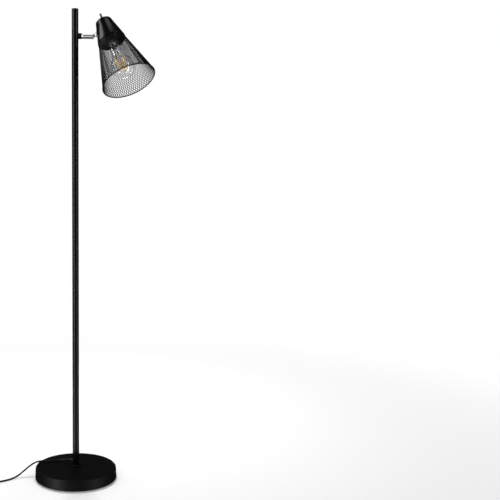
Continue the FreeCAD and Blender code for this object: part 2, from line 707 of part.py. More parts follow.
def build_lampholder():
    top = STRAP_LENGTH
    web_inside = top - STRAP_THICKNESS
    nipple_low = web_inside - HOLDER_NUT_HEIGHT - HOLDER_NIPPLE_PROUD
    nipple_high = top + HOLDER_NIPPLE_REACH
    save_head("holder_nipple", tube(HOLDER_NIPPLE_RADIUS, HOLDER_NIPPLE_BORE, nipple_low, nipple_high))
    save_head("holder_nut", nut(HOLDER_NUT_FLATS, HOLDER_NIPPLE_RADIUS, web_inside - HOLDER_NUT_HEIGHT,
                                web_inside))
    cap_top = BULB_CAP_END - BULB_CAP_LENGTH - BULB_TIP_LENGTH
    floor = cap_top - HOLDER_FLOOR_GAP
    shell_inner = BULB_CAP_RADIUS + SHELL_GAP
    shell_outer = shell_inner + SHELL_WALL
    body = spin_points([
        (0, top),
        (HOLDER_CROWN_RADIUS, top),
        (HOLDER_RADIUS, top + HOLDER_CROWN_LENGTH),
        (HOLDER_RADIUS, HOLDER_MOUTH),
        (0, HOLDER_MOUTH),
    ])
    crown_edge = [(HOLDER_RADIUS, top + HOLDER_CROWN_LENGTH)]
    body = round_circles(body, HOLDER_EDGE, crown_edge)
    body = body.cut(disc(HOLDER_NIPPLE_RADIUS + FIT_GAP, top, nipple_high + FIT_GAP))
    body = body.cut(disc(HOLDER_NIPPLE_BORE, top, floor))
    body = body.cut(disc(shell_outer + FIT_GAP, floor, HOLDER_MOUTH))
    save_head("lampholder_body", body)
    shell = tube(shell_outer, shell_inner, floor + SHELL_FLOOR, HOLDER_MOUTH - SHELL_SETBACK)
    floor_ring = tube(shell_outer, BULB_TIP_RADIUS + CONTACT_SPACE, floor, floor + SHELL_FLOOR)
    save_head("lampholder_shell", shell.fuse(floor_ring))
    contact_low = floor - CONTACT_SUNK
    contact_high = cap_top - FIT_GAP
    save_head("holder_contact", disc(HOLDER_NIPPLE_BORE - FIT_GAP, contact_low, contact_high))


# ---- Bulb ----
def glass_space(inset):
    """The bulb's space, drawn in by inset: a neck, a tangent flare and a round end."""
    middle = BULB_BOTTOM - BULB_RADIUS
    rise = middle - BULB_NECK_END
    swell = BULB_RADIUS - BULB_NECK_RADIUS
    flare = (rise ** 2 - swell * (BULB_RADIUS + BULB_NECK_RADIUS)) / (2 * swell)
    flare_centre = BULB_NECK_RADIUS + flare
    reach = BULB_RADIUS + flare
    ball = BULB_RADIUS - inset
    neck = BULB_NECK_RADIUS - inset
    flare_radius = flare + inset
    half_sweep = math.atan2(rise, flare_centre) / 2
    flare_middle = (flare_centre - flare_radius * math.cos(half_sweep),
                    BULB_NECK_END + flare_radius * math.sin(half_sweep))
    joint = (ball * flare_centre / reach, middle - ball * rise / reach)

    def on_ball(angle):
        turn = math.radians(angle)
        return (ball * math.cos(turn), middle + ball * math.sin(turn))

    seal = BULB_CAP_RADIUS - BULB_CAP_WALL - FIT_GAP - inset
    low = BULB_CAP_END - GLASS_SEAL + inset
    corner = BULB_CAP_END + GLASS_COLLAR
    return spin([
        line((0, low), (seal, low)),
        line((seal, low), (seal, corner)),
        line((seal, corner), (neck, BULB_NECK_END)),
        arc((neck, BULB_NECK_END), flare_middle, joint),
        arc(joint, on_ball(0), on_ball(45)),
        arc(on_ball(45), on_ball(70), on_ball(90)),
        line(on_ball(90), (0, low)),
    ])


def build_bulb():
    cap_low = BULB_CAP_END - BULB_CAP_LENGTH
    save_head("bulb_glass", glass_space(0).cut(glass_space(GLASS_WALL)))

    cap = disc(BULB_CAP_RADIUS, cap_low, BULB_CAP_END)
    cap = cap.cut(disc(BULB_CAP_RADIUS - BULB_CAP_WALL, cap_low + BULB_CAP_WALL, BULB_CAP_END))
    cap = cap.cut(disc(INSULATOR_RADIUS, cap_low, cap_low + BULB_CAP_WALL))
    save_head("bulb_cap", cap)
    tip_low = cap_low - BULB_TIP_LENGTH
    disc_end = tip_low + BULB_TIP_DISC
    insulator = Part.makeCone(BULB_TIP_RADIUS, INSULATOR_RADIUS, cap_low - disc_end, Vector(0, 0, disc_end))
    insulator = insulator.fuse(disc(INSULATOR_RADIUS - FIT_GAP, cap_low, cap_low + INSULATOR_DEPTH))
    save_head("bulb_insulator", insulator)
    save_head("bulb_contact", disc(BULB_TIP_RADIUS, tip_low, disc_end))

    stem_low = BULB_CAP_END - GLASS_SEAL + GLASS_WALL
    flare_top = stem_low + STEM_FLARE_LENGTH
    stem = Part.makeCone(STEM_FLARE_RADIUS, STEM_RADIUS, flare_top - stem_low, Vector(0, 0, stem_low))
    stem = stem.fuse(disc(STEM_RADIUS, flare_top, STEM_END))
    save_head("bulb_stem", round_circles(stem, STEM_END_ROUND, [(STEM_RADIUS, STEM_END)]))

    filaments = []
    supports = []
    for i in range(FILAMENTS):
        turn = 2 * math.pi * (i + 0.5) / FILAMENTS
        out = Vector(math.cos(turn), math.sin(turn), 0)
        top = out * FILAMENT_TOP_SPREAD + Vector(0, 0, FILAMENT_TOP)
        bottom = out * FILAMENT_BOTTOM_SPREAD + Vector(0, 0, FILAMENT_BOTTOM)
        along = bottom - top
        filaments.append(Part.makeCylinder(FILAMENT_RADIUS, along.Length, top, along))
        step = along.normalize() * SUPPORT_GAP
        for near, back in ((top - step, -SUPPORT_SLOPE_TOP), (bottom + step, SUPPORT_SLOPE_BOTTOM)):
            root = out * (STEM_RADIUS + SUPPORT_GAP) + Vector(0, 0, near.z + back)
            reach = near - root
            supports.append(Part.makeCylinder(FILAMENT_WIRE_RADIUS, reach.Length, root, reach))
    save_head("bulb_filaments", Part.makeCompound(filaments))
    save_head("filament_supports", Part.makeCompound(supports))


# ---- Cage ----
def mesh_hole(radius, depth, pitch, tilt, turn):
    """The prism that cuts one diamond out of the mesh, at its place on the cone."""
    half_width = math.pi * radius / MESH_CELLS_AROUND - MESH_JOINT
    half_height = pitch - MESH_STRAND
    low = radius - MESH_HOLE_REACH
    corners = [(half_width, 0), (0, half_height), (-half_width, 0), (0, -half_height)]
    outline = Part.makePolygon([Vector(low, y, z) for y, z in corners + corners[:1]])
    hole = Part.Face(outline).extrude(Vector(2 * MESH_HOLE_REACH, 0, 0))
    hole.rotate(Vector(radius, 0, 0), Vector(0, 1, 0), tilt)
    hole.translate(Vector(0, 0, depth))
    hole.rotate(Vector(0, 0, 0), UP, turn)
    return hole


def build_cage():
    """The band, the rim wire and the mesh, which is cut lengthways into gores that touch."""
    hem_inset = CUP_HEM_WALL / math.cos(cup_angle)
    band_outer_mouth = CUP_MOUTH_RADIUS - hem_inset - WELD_GAP
    mesh_end = HEAD_LENGTH - RIM_WIRE_RADIUS - WELD_GAP
    slope_of_mesh = (RIM_RADIUS - band_outer_mouth) / (mesh_end - CUP_LENGTH)
    wall = MESH_WALL * math.sqrt(1 + slope_of_mesh ** 2)

    def mesh_radius(depth):
        return band_outer_mouth + slope_of_mesh * (depth - CUP_LENGTH)

    def conical_ring(low, high):
        return spin_points([
            (mesh_radius(low), low),
            (mesh_radius(high), high),
            (mesh_radius(high) - wall, high),
            (mesh_radius(low) - wall, low),
        ])

    band_high = CUP_LENGTH + BAND_PROUD
    save_head("cage_band", conical_ring(CUP_LENGTH - BAND_LENGTH, band_high))

    gore_turn = 360 / MESH_GORES
    profile = [
        (mesh_radius(band_high), band_high),
        (mesh_radius(mesh_end), mesh_end),
        (mesh_radius(mesh_end) - wall, mesh_end),
        (mesh_radius(band_high) - wall, band_high),
    ]
    outline = Part.makePolygon([Vector(r, 0, z) for r, z in profile + profile[:1]])
    gore = Part.Face(outline).revolve(Vector(0, 0, 0), UP, gore_turn)
    first = band_high + MESH_TOP_BORDER
    pitch = (mesh_end - MESH_RIM_BORDER - first) / (MESH_ROWS + 1)
    tilt = math.degrees(math.atan(slope_of_mesh))
    cell_turn = 360 / MESH_CELLS_AROUND
    gores = []
    for i in range(MESH_GORES):
        holes = []
        for row in range(MESH_ROWS):
            depth = first + (row + 1) * pitch
            start = (i * gore_turn - cell_turn / 2) / cell_turn - 0.5 * (row % 2)
            last = math.floor(start + gore_turn / cell_turn + 1)
            for cell in range(math.ceil(start), last + 1):
                turn = (cell + 0.5 * (row % 2)) * cell_turn - i * gore_turn
                holes.append(mesh_hole(mesh_radius(depth), depth, pitch, tilt, turn))
        cut = gore.cut(holes)
        cut.rotate(Vector(0, 0, 0), UP, i * gore_turn)
        gores.append(cut)
    save_head("cage_mesh", Part.makeCompound(gores))

    save_head("cage_rim", Part.makeTorus(RIM_RADIUS, RIM_WIRE_RADIUS, Vector(0, 0, HEAD_LENGTH)))


# ---- Wires inside ----
def build_wires(stud_end, switch_end):
    inward = Vector(0, 0, EXIT_HEIGHT + pole_radius * math.tan(slope))
    top_turn = Vector(0, 0, arm_height)
    out_end = Vector(arm_start + ARM_BACK_WALL, 0, arm_height)
    supply_path = bent_path([relief_root, inward, top_turn, out_end], fixed_bend(SUPPLY_WIRE_BEND))
    save("supply_wire", swept_tube(supply_path, SUPPLY_WIRE_RADIUS))

    stud_tip = ball_in_head - stud_out * (stud_end + WASHER_DROP)
    first_bend = stud_tip - stud_out * 2 * HEAD_WIRE_BEND
    switch_side = Vector(SWITCH_RADIUS + FIT_GAP, 0, switch_end - SWITCH_LENGTH / 3)
    second_bend = Vector(first_bend.x - HEAD_WIRE_RADIUS, 0, switch_side.z)
    points = [stud_tip, first_bend, second_bend, switch_side]
    head_path = bent_path(points, fixed_bend(HEAD_WIRE_BEND))
    save_head("head_wire", swept_tube(head_path, HEAD_WIRE_RADIUS))


# ---- Cord ----
def build_relief():
    """The tapered sleeve on the cord where it comes out of the pole, with a flange outside the wall."""
    length = RELIEF_INSIDE + RELIEF_LENGTH
    neck_end = RELIEF_INSIDE + RELIEF_FLANGE
    flange = disc(RELIEF_FLANGE_RADIUS, RELIEF_INSIDE - RELIEF_FLANGE, neck_end)
    taper = Part.makeCone(RELIEF_ROOT_RADIUS, RELIEF_TIP_RADIUS, length)
    turn = FreeCAD.Rotation(UP, exit_direction)
    placement = FreeCAD.Placement(relief_root, turn)
    flange.Placement = placement
    taper.Placement = placement
    pole_space = Part.makeCylinder(pole_radius + FIT_GAP / 2, TOTAL_HEIGHT)
    save("cord_relief", taper.fuse(flange.cut(pole_space)))


def biarc(start, start_way, end, end_way):
    """Two arcs, tangent to each other and to the ways given at both ends."""
    span = end - start
    total = start_way + end_way
    spread = 2 * (1 - start_way.dot(end_way))
    along = span.dot(total)
    leg = (math.sqrt(along ** 2 + spread * span.dot(span)) - along) / spread
    first = start + start_way * leg
    last = end - end_way * leg
    joint = (first + last) / 2
    return [leg_arc(start, first, joint), leg_arc(joint, last, end)]


def leg_arc(start, corner, end):
    weight = (end - start).Length / (2 * (corner - start).Length)
    middle = (start + corner * (2 * weight) + end) / (2 * (1 + weight))
    return Part.Arc(start, middle, end).toShape()


def coil_place(turns):
    """The coil's centre line after that many turns, and the way it runs there."""
    period = COIL_LAYER_TURNS + COIL_CLIMB_TURNS
    layer = min(int(turns / period), COIL_LAYERS - 1)
    within = turns - layer * period
    swing = COIL_STEP * COIL_LAYER_TURNS / 2
    inward = 1 if layer % 2 == 0 else -1
    climbed = 0.0
    climb_way = 0.0
    if within <= COIL_LAYER_TURNS:
        radius = COIL_RADIUS + inward * (swing - COIL_STEP * within)
    else:
        share = (within - COIL_LAYER_TURNS) / COIL_CLIMB_TURNS
        beyond = COIL_STEP * COIL_CLIMB_TURNS * min(share, 1 - share)
        radius = COIL_RADIUS - inward * (swing + beyond)
        climbed = COIL_LAYER_HEIGHT * (1 - math.cos(math.pi * share)) / 2
        climb_way = COIL_LAYER_HEIGHT * math.pi * math.sin(math.pi * share) / 2 / COIL_CLIMB_TURNS
    angle = -math.pi / 2 - 2 * math.pi * turns
    height = CORD_RADIUS + CORD_REST + COIL_LAYER_HEIGHT * layer + climbed
    place = Vector(COIL_CENTRE[0], COIL_CENTRE[1], height)
    place += Vector(math.cos(angle), math.sin(angle), 0) * radius
    way = Vector(math.sin(angle), -math.cos(angle), climb_way / (2 * math.pi * radius))
    return place, way.normalize()


def coil_path():
    total = COIL_LAYERS * COIL_LAYER_TURNS + (COIL_LAYERS - 1) * COIL_CLIMB_TURNS
    quarters = round(4 * total)
    places = [coil_place(i / 4) for i in range(quarters + 1)]
    start, start_way = places[0]
    end, end_way = places[-1]
    straight = 2 * CORD_RADIUS
    entry = start - start_way * straight
    exit_ = end + end_way * straight
    edges = [Part.LineSegment(entry, start).toShape()]
    for (a, a_way), (b, b_way) in zip(places, places[1:]):
        edges += biarc(a, a_way, b, b_way)
    edges.append(Part.LineSegment(end, exit_).toShape())
    return Part.Wire(edges), entry, exit_, start_way, end_way


def least_gap(path):
    """The coil's least gap to itself: the nearest two points that are over a quarter turn apart."""
    points = path.discretize(Distance=CORD_RADIUS)
    step = path.Length / (len(points) - 1)
    apart = int(COIL_RADIUS * math.pi / 2 / step)
    nearest = min((a - b).Length for i, a in enumerate(points) for b in points[i + apart:])
    return nearest - 2 * CORD_RADIUS


def print_route(name, points):
    radii = []
    for before, corner, after in zip(points, points[1:], points[2:]):
        half_turn = (corner - before).getAngle(after - corner) / 2
        radii.append(round(loose_bend((corner - before).Length, (after - corner).Length, half_turn), 1))
    print(name, "bend radii", radii)


def build_cord():
    coil, entry, coil_exit, coil_way_in, coil_way_out = coil_path()
    first = relief_tip + exit_direction * CORD_FIRST_RUN
    last = entry - coil_way_in * CORD_LAST_RUN
    route = [relief_tip, first] + [Vector(*p) for p in CORD_ROUTE] + [last, entry]
    tail = [coil_exit, coil_exit + coil_way_out * TAIL_FIRST_RUN] + [Vector(*p) for p in TAIL_ROUTE]
    total = 0.0
    section = math.pi * CORD_RADIUS ** 2
    for node, points in (("cord", route), ("cord_tail", tail)):
        path = bent_path(points, loose_bend)
        shape = swept_tube(path, CORD_RADIUS)
        print_route(node, points)
        print(node, "length", round(path.Length, 1), "volume over section times length",
              round(shape.Volume / section / path.Length, 4))
        total += path.Length
        save(node, shape)
    shape = swept_tube(coil, CORD_RADIUS)
    print("cord_coil", "length", round(coil.Length, 1), "volume over section times length",
          round(shape.Volume / section / coil.Length, 4), "least gap", round(least_gap(coil), 2))
    total += coil.Length
    save("cord_coil", shape)
    print("whole cord", round(total, 1))
    build_plug(tail[-1])


def build_plug(start):
    """The plug lies along +Y from the cord's end: a body that widens, and two flat blades."""
    body_corner = start - Vector(PLUG_WIDTH / 2, 0, PLUG_HEIGHT / 2)
    body = Part.makeBox(PLUG_WIDTH, PLUG_LENGTH, PLUG_HEIGHT, body_corner)
    save("plug_body", body.makeFillet(PLUG_EDGE, body.Edges))
    blades = []
    for side in (-1, 1):
        corner = start + Vector(side * BLADE_PITCH / 2 - BLADE_THICKNESS / 2, PLUG_LENGTH, -BLADE_WIDTH / 2)
        blade = Part.makeBox(BLADE_THICKNESS, BLADE_LENGTH, BLADE_WIDTH, corner)
        far = [edge for edge in blade.Edges if edge.BoundBox.YMin > corner.y + BLADE_LENGTH - 0.01]
        blades.append(blade.makeChamfer(BLADE_THICKNESS / 3, far))
    save("plug_blades", Part.makeCompound(blades))


os.makedirs("parts", exist_ok=True)

build_base()
build_pole()
build_arm()
cup_inside = build_cup()
stud_reach = build_swivel(cup_inside)
switch_bottom = build_switch()
build_lampholder()
build_bulb()
build_cage()
build_wires(stud_reach, switch_bottom)
build_relief()
build_cord()
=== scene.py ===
import json
import math

import bmesh
import bpy
from mathutils import Matrix, Vector


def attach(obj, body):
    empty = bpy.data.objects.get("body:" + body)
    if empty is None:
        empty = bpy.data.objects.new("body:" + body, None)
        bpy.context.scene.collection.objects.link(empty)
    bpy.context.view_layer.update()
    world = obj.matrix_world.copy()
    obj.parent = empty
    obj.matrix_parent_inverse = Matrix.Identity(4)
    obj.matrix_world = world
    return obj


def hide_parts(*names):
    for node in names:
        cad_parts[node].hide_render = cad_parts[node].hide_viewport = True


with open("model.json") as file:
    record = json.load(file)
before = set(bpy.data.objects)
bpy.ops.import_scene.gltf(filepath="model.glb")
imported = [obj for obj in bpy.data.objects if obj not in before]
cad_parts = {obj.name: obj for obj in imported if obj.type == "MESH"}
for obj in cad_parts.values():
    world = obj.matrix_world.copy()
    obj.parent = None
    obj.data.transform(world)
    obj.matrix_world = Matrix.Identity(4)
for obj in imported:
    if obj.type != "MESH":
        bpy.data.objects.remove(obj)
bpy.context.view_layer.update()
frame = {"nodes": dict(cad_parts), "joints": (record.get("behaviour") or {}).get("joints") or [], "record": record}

bl_info = {
    "name": "Wire Cage Floor Lamp",
    "version": (1, 0, 0),
    "blender": (4, 5, 0),
    "location": "View3D > Sidebar > Floor Lamp",
    "description": "Dresses the floor lamp's solids with paint, chrome, glass and its expanded metal cage",
    "category": "Object",
}

MM = 0.001
SMOOTH_ANGLE = 34.0
TURNED_SEGMENTS = 128
FILLET_STEPS = 6

# ---- Where the moving parts stand, from the frame's joints ----
joints = {joint["name"]: joint for joint in frame["joints"]}
head_axis = -Vector(joints["switch_turn"]["axis"])
head_top = Vector(joints["switch_turn"]["pos_m"])
stud_axis = Vector(joints["head_turn"]["axis"])
ball_centre = Vector(joints["head_turn"]["pos_m"])
plate_side = (stud_axis - head_axis * stud_axis.dot(head_axis)).normalized()


def standing(origin, x_way, z_way):
    """The matrix that puts a piece built about the z axis at an origin, along a way."""
    y_way = z_way.cross(x_way)
    turn = Matrix((x_way, y_way, z_way)).transposed()
    return Matrix.Translation(origin) @ turn.to_4x4()


HEAD = standing(head_top, plate_side, head_axis)
STUD = standing(ball_centre, stud_axis.cross(head_axis).normalized(), -stud_axis)
ARM = standing(Vector((0, 0, ball_centre.z)), Vector((0, 0, -1)), Vector((1, 0, 0)))
UPRIGHT = Matrix.Identity(4)

# ---- The stand, in millimetres ----
BASE_RADIUS = 126.0
BASE_TOP_RADIUS = 124.4
BASE_HEIGHT = 33.0
BASE_PAD = 2.0
BASE_PAD_RADIUS = 125.5
SHEET_WALL = 1.2
BASE_FLANGE = 9.0
BASE_EDGE = 3.0
BASE_EDGE_INSIDE = 1.8
BASE_HOLE = 5.2
BASE_SEGMENTS = 192
PAD_SEGMENTS = 160
POLE_RADIUS = 10.0
POLE_BORE = 8.8
POLE_TOP = 1424.8
CAP_DOME = 2.2
CAP_EDGE = 1.0
CAP_PLUG = 12.0
CAP_PLUG_RADIUS = 8.7
POLE_NODES = ("pole_lower", "pole_middle", "pole_upper")
SEAM_WIDTH = 0.5
SEAM_DEPTH = 0.35
FOOT_RADIUS = 14.2
FOOT_HEIGHT = 7.0
FOOT_BORE = 10.1
FOOT_EDGE = 1.6

# ---- The arm and the ball joint ----
ARM_RADIUS = 8.6
ARM_START = 19.1
ARM_WALL_END = 23.1
ARM_HOLE = 5.06
ARM_BORE = 6.6
ARM_SEAT = 6.0
GROOVE_START = 2.2
GROOVE_END = 3.1
GROOVE_DEPTH = 0.4
GROOVE_SLOPE = 0.2
RUNNING_GAP = 0.06
BALL_OFFSET = 52.5
BALL_RADIUS = 6.3
ARM_MOUTH = 55.2
STUD_NECK = 3.2
STUD_BORE = 1.5
STUD_BOTTOM = -6.1
STUD_THREAD = 3.0
STUD_END = 22.9
LOCK_NUT_START = 8.2
PLATE_START = 15.2
SCREW_HEAD_START = 13.2
SCREW_HEAD_RADIUS = 2.8
SCREW_RADIUS = 1.5
SCREW_END = 20.3
SCREW_OFFSET = 10.5

# ---- The head ----
CUP_TOP_RADIUS = 23.8
CUP_MOUTH_RADIUS = 43.0
CUP_LENGTH = 74.0
CUP_WALL = 0.9
CUP_CROWN = -1.6
CUP_SHOULDER = 4.0
CUP_HOLE = 3.3
CROWN_RADII = (8.0, 14.0, 19.0)
CROWN_SPAN = 22.0
CROWN_RISE = 2.6
HEM_LENGTH = 3.0
HEM_WALL = 1.8
KNOB_TIP = -26.9
KNOB_FOOT = -9.9
KNOB_STEM_END = 0.4
KNOB_STEM_RADIUS = 1.5
RIB_RISE = 0.35
HEAD_LENGTH = 217.6
RIM_RADIUS = 80.0
RIM_WIRE = 1.5
MESH_START = 4.0
MESH_CLEARANCE = 1.6
MESH_INSET = 0.5
MESH_END = 1.0

# ---- The bulb ----
BULB_RADIUS = 35.0
BULB_BOTTOM = 204.0
BULB_NECK_RADIUS = 14.5
BULB_NECK_END = 95.0
BULB_CAP_END = 86.0
BULB_SEAL = 6.0
BULB_SEAL_RADIUS = 12.5
GLASS_WALL = 0.9
BULB_STEM = ((0, 80.9), (11.0, 80.9, 0.5), (4.2, 95.0, 3.0), (3.2, 104.0), (3.2, 184.0, 2.4), (0, 184.0))

# ---- The cord, laid as the solids lay it ----
CORD_RADIUS = 2.5
EXIT_HEIGHT = 50.5
EXIT_AZIMUTH = 130.0
EXIT_SLOPE = 12.0
RELIEF_LENGTH = 20.0
CORD_FIRST_RUN = 14.0
CORD_ROUTE = (
    (-44.0, 43.0, 38.5), (-66.0, 44.5, 36.2), (-89.0, 39.0, 37.2), (-109.0, 31.5, 40.5),
    (-128.0, 22.0, 39.5), (-146.0, 13.5, 30.0), (-162.0, 6.0, 18.0), (-178.0, -3.0, 7.0),
    (-195.0, -17.0, 2.8), (-212.0, -31.0, 2.8), (-233.0, -41.0, 2.8), (-254.0, -53.0, 2.8),
    (-272.0, -66.4, 2.8),
)
CORD_LAST_RUN = 16.0
COIL_CENTRE = (-310.0, -39.0)
COIL_RADIUS = 26.2
COIL_LAYERS = 4
COIL_LAYER_TURNS = 1.75
COIL_CLIMB_TURNS = 0.5
COIL_STEP = 5.7
COIL_LAYER_HEIGHT = 5.7
COIL_POINTS_PER_TURN = 16
CORD_REST = 0.3
TAIL_FIRST_RUN = 20.0
TAIL_ROUTE = ((-266.0, 3.0, 14.0), (-257.0, 24.0, 8.6), (-257.0, 43.0, 8.6))

# ---- The photograph's view, in its pixels. The lamp stands left of the picture's middle, so the lens is
# shifted sideways. It isn't shifted up or down: the camera looks down a little instead. ----
PICTURE = 500.0
FOCAL_PIXELS = 829.0
SHIFT_PIXELS = 125.0
CAMERA_PLACE = (0.0249, -2.5126, 0.9397)
CAMERA_YAW = 2.864
CAMERA_PITCH = -5.248
CAMERA_ROLL = 0.196

# ---- The lamps, as place and size in metres ----
STRIP_HEIGHT = 0.2
STRIP_SIZE = (0.36, 5.0)
LEFT_STRIP = (-1.784, -1.287, STRIP_HEIGHT)
RIGHT_STRIP = (1.81, -1.25, STRIP_HEIGHT)
TOP_PANEL = (-0.1, 1.1, 2.5)
TOP_PANEL_AIM = (-0.1, 0.0, 0.0)
TOP_PANEL_SIZE = (0.6, 0.6)
CUP_LEFT = (-1.45, 0.45, 2.25)
CUP_LEFT_SIZE = (0.75, 1.1)
CUP_TOP = (0.16, 0.075, 2.84)
CUP_TOP_SIZE = (0.16, 0.8)
FLOOR_HALF = 14.0
FLOOR_FADE = (0.9, 2.4)
BACKDROP_SHARE = 0.7
CEILING_SHARE = 0.35


# ---- Node trees, for materials and geometry alike ----
class Value:
    """A socket inside a node tree. Sums, products and the like on it add Math nodes."""

    def __init__(self, graph, socket):
        self.graph = graph
        self.socket = socket

    def _math(self, operation, *inputs):
        return self.graph.node("ShaderNodeMath", {"operation": operation}, dict(enumerate(inputs)))

    def __add__(self, other):
        return self._math("ADD", self, other)

    def __radd__(self, other):
        return self._math("ADD", other, self)

    def __sub__(self, other):
        return self._math("SUBTRACT", self, other)

    def __rsub__(self, other):
        return self._math("SUBTRACT", other, self)

    def __mul__(self, other):
        return self._math("MULTIPLY", self, other)

    def __truediv__(self, other):
        return self._math("DIVIDE", self, other)

    def __pow__(self, other):
        return self._math("POWER", self, other)

    def cos(self):
        return self._math("COSINE", self)

    def sin(self):
        return self._math("SINE", self)

    def clamped(self, low, high):
        return self._math("MINIMUM", self._math("MAXIMUM", self, low), high)


class Graph:
    """Adds nodes to a tree: settings first, then the values or links of its sockets."""

    def __init__(self, tree):
        self.tree = tree

    def node(self, kind, settings=None, inputs=None, output=0):
        node = self.tree.nodes.new(kind)
        for name, value in (settings or {}).items():
            setattr(node, name, value)
        for key, value in (inputs or {}).items():
            self.feed(node.inputs[key], value)
        return Value(self, node.outputs[output]) if len(node.outputs) else node

    def feed(self, socket, value):
        if isinstance(value, Value):
            self.tree.links.new(value.socket, socket)
        else:
            socket.default_value = value


def srgb(hex_digits):
    """A linear colour from the six hex digits of a screen colour."""
    parts = [int(hex_digits[i:i + 2], 16) / 255 for i in (0, 2, 4)]
    return tuple(c / 12.92 if c < 0.0405 else ((c + 0.055) / 1.055) ** 2.4 for c in parts) + (1.0,)


def new_material(name):
    material = bpy.data.materials.new(name)
    material.use_nodes = True
    material.node_tree.nodes.clear()
    return material, Graph(material.node_tree)


def end_material(graph, surface):
    graph.node("ShaderNodeOutputMaterial", None, {"Surface": surface})


def object_place(graph):
    return graph.node("ShaderNodeTexCoord", None, None, "Object")


def noise(graph, scale, detail=2.0, vector=None):
    inputs = {"Vector": vector or object_place(graph), "Scale": scale, "Detail": detail}
    return graph.node("ShaderNodeTexNoise", None, inputs)


def bump(graph, height, strength, distance):
    return graph.node("ShaderNodeBump", None, {"Height": height, "Strength": strength, "Distance": distance})


def painted(name, colour, roughness, sheen, grain_scale, grain):
    """Powder paint: black, under a thin gloss that is as faint at the edges as it is face on."""
    material, graph = new_material(name)
    uneven = noise(graph, 35.0)
    peel = bump(graph, noise(graph, grain_scale), grain, 0.0004)
    body = graph.node("ShaderNodeBsdfPrincipled", None, {
        "Base Color": colour,
        "Roughness": 0.9,
        "Specular IOR Level": 0.0,
        "Normal": peel,
    })
    gloss = graph.node("ShaderNodeBsdfPrincipled", None, {
        "Base Color": (0.9, 0.9, 0.9, 1.0),
        "Metallic": 1.0,
        "Roughness": roughness + (uneven - 0.5) * 0.06,
        "Normal": peel,
    })
    end_material(graph, graph.node("ShaderNodeMixShader", None, {0: sheen, 1: body, 2: gloss}))
    return material


def metal(name, colour, roughness, spread, scratch_scale=(260.0, 260.0, 260.0), scratch=0.0):
    """Plated or bare metal, with a wandering polish and, where asked, fine scratches."""
    material, graph = new_material(name)
    stretched = graph.node("ShaderNodeMapping", None, {"Vector": object_place(graph), "Scale": scratch_scale})
    streaks = noise(graph, 1.0, 3.0, stretched)
    inputs = {
        "Base Color": colour,
        "Metallic": 1.0,
        "Roughness": (roughness + (streaks - 0.5) * spread).clamped(0.02, 1.0),
    }
    if scratch:
        inputs["Normal"] = bump(graph, streaks, scratch, 0.0002)
    end_material(graph, graph.node("ShaderNodeBsdfPrincipled", None, inputs))
    return material


def moulded(name, colour, roughness, specular=0.35, grain_scale=900.0, grain=0.08):
    """Moulded plastic or rubber with a faint texture and a slightly uneven gloss."""
    material, graph = new_material(name)
    uneven = noise(graph, 35.0)
    surface = graph.node("ShaderNodeBsdfPrincipled", None, {
        "Base Color": colour,
        "Roughness": roughness + (uneven - 0.5) * 0.06,
        "Specular IOR Level": specular,
        "Normal": bump(graph, noise(graph, grain_scale), grain, 0.0004),
    })
    end_material(graph, surface)
    return material


def glass(name, tint):
    material, graph = new_material(name)
    surface = graph.node("ShaderNodeBsdfPrincipled", None, {
        "Base Color": tint,
        "Roughness": 0.0,
        "IOR": 1.46,
        "Transmission Weight": 1.0,
    })
    end_material(graph, surface)
    return material


def phosphor(name, colour, painted_glow):
    """The coating of an unlit filament: a warm yellow, with a painted glow (emission) that keeps it bright behind
    the glass although the bulb is off.
    """
    material, graph = new_material(name)
    mottle = noise(graph, 900.0)
    shade = graph.node("ShaderNodeMix", {"data_type": "RGBA"}, {0: mottle, 6: colour, 7: srgb("E89A1C")}, 2)
    surface = graph.node("ShaderNodeBsdfPrincipled", None, {
        "Base Color": shade,
        "Roughness": 0.5,
        "Emission Color": shade,
        # Painted glow: emission makes the filaments shine in their own colour although the bulb is unlit.
        "Emission Strength": painted_glow,
    })
    end_material(graph, surface)
    return material


# ---- Meshes ----
def smooth(mesh, angle=SMOOTH_ANGLE):
    mesh.polygons.foreach_set("use_smooth", [True] * len(mesh.polygons))
    mesh.set_sharp_from_angle(angle=math.radians(angle))


def new_piece(name, mesh, body, material, nodes=()):
    """Links a finished mesh as a piece on a body, in place of the solids it stands for."""
    mesh.name = name
    piece = bpy.data.objects.new(name, mesh)
    bpy.context.scene.collection.objects.link(piece)
    mesh.materials.clear()
    mesh.materials.append(material)
    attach(piece, body)
    if nodes:
        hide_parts(*nodes)
    return piece


def filleted(outline, closed=True):
    """Rounds the corners of an outline: a point may hold a third number, its fillet radius."""
    points = []
    count = len(outline)
    for i, corner in enumerate(outline):
        here = Vector(corner[:2])
        radius = corner[2] if len(corner) > 2 else 0.0
        if not radius or (not closed and i in (0, count - 1)):
            points.append(tuple(here))
            continue
        before = Vector(outline[i - 1][:2])
        after = Vector(outline[(i + 1) % count][:2])
        into = (here - before).normalized()
        out = (after - here).normalized()
        half_turn = into.angle(out) / 2
        setback = radius * math.tan(half_turn)
        middle = here + (out - into).normalized() * (radius / math.cos(half_turn))
        first = here - into * setback - middle
        last = here + out * setback - middle
        start = math.atan2(first.y, first.x)
        sweep = math.atan2(first.cross(last), first.dot(last))
        for step in range(FILLET_STEPS + 1):
            turn = start + sweep * step / FILLET_STEPS
            points.append((middle.x + radius * math.cos(turn), middle.y + radius * math.sin(turn)))
    return points


def arc_points(centre, radius, start, end, steps):
    """Points on an arc, angles in degrees from the outline's radius axis."""
    turns = [math.radians(start + (end - start) * i / steps) for i in range(steps + 1)]
    return [(centre[0] + radius * math.cos(t), centre[1] + radius * math.sin(t)) for t in turns]


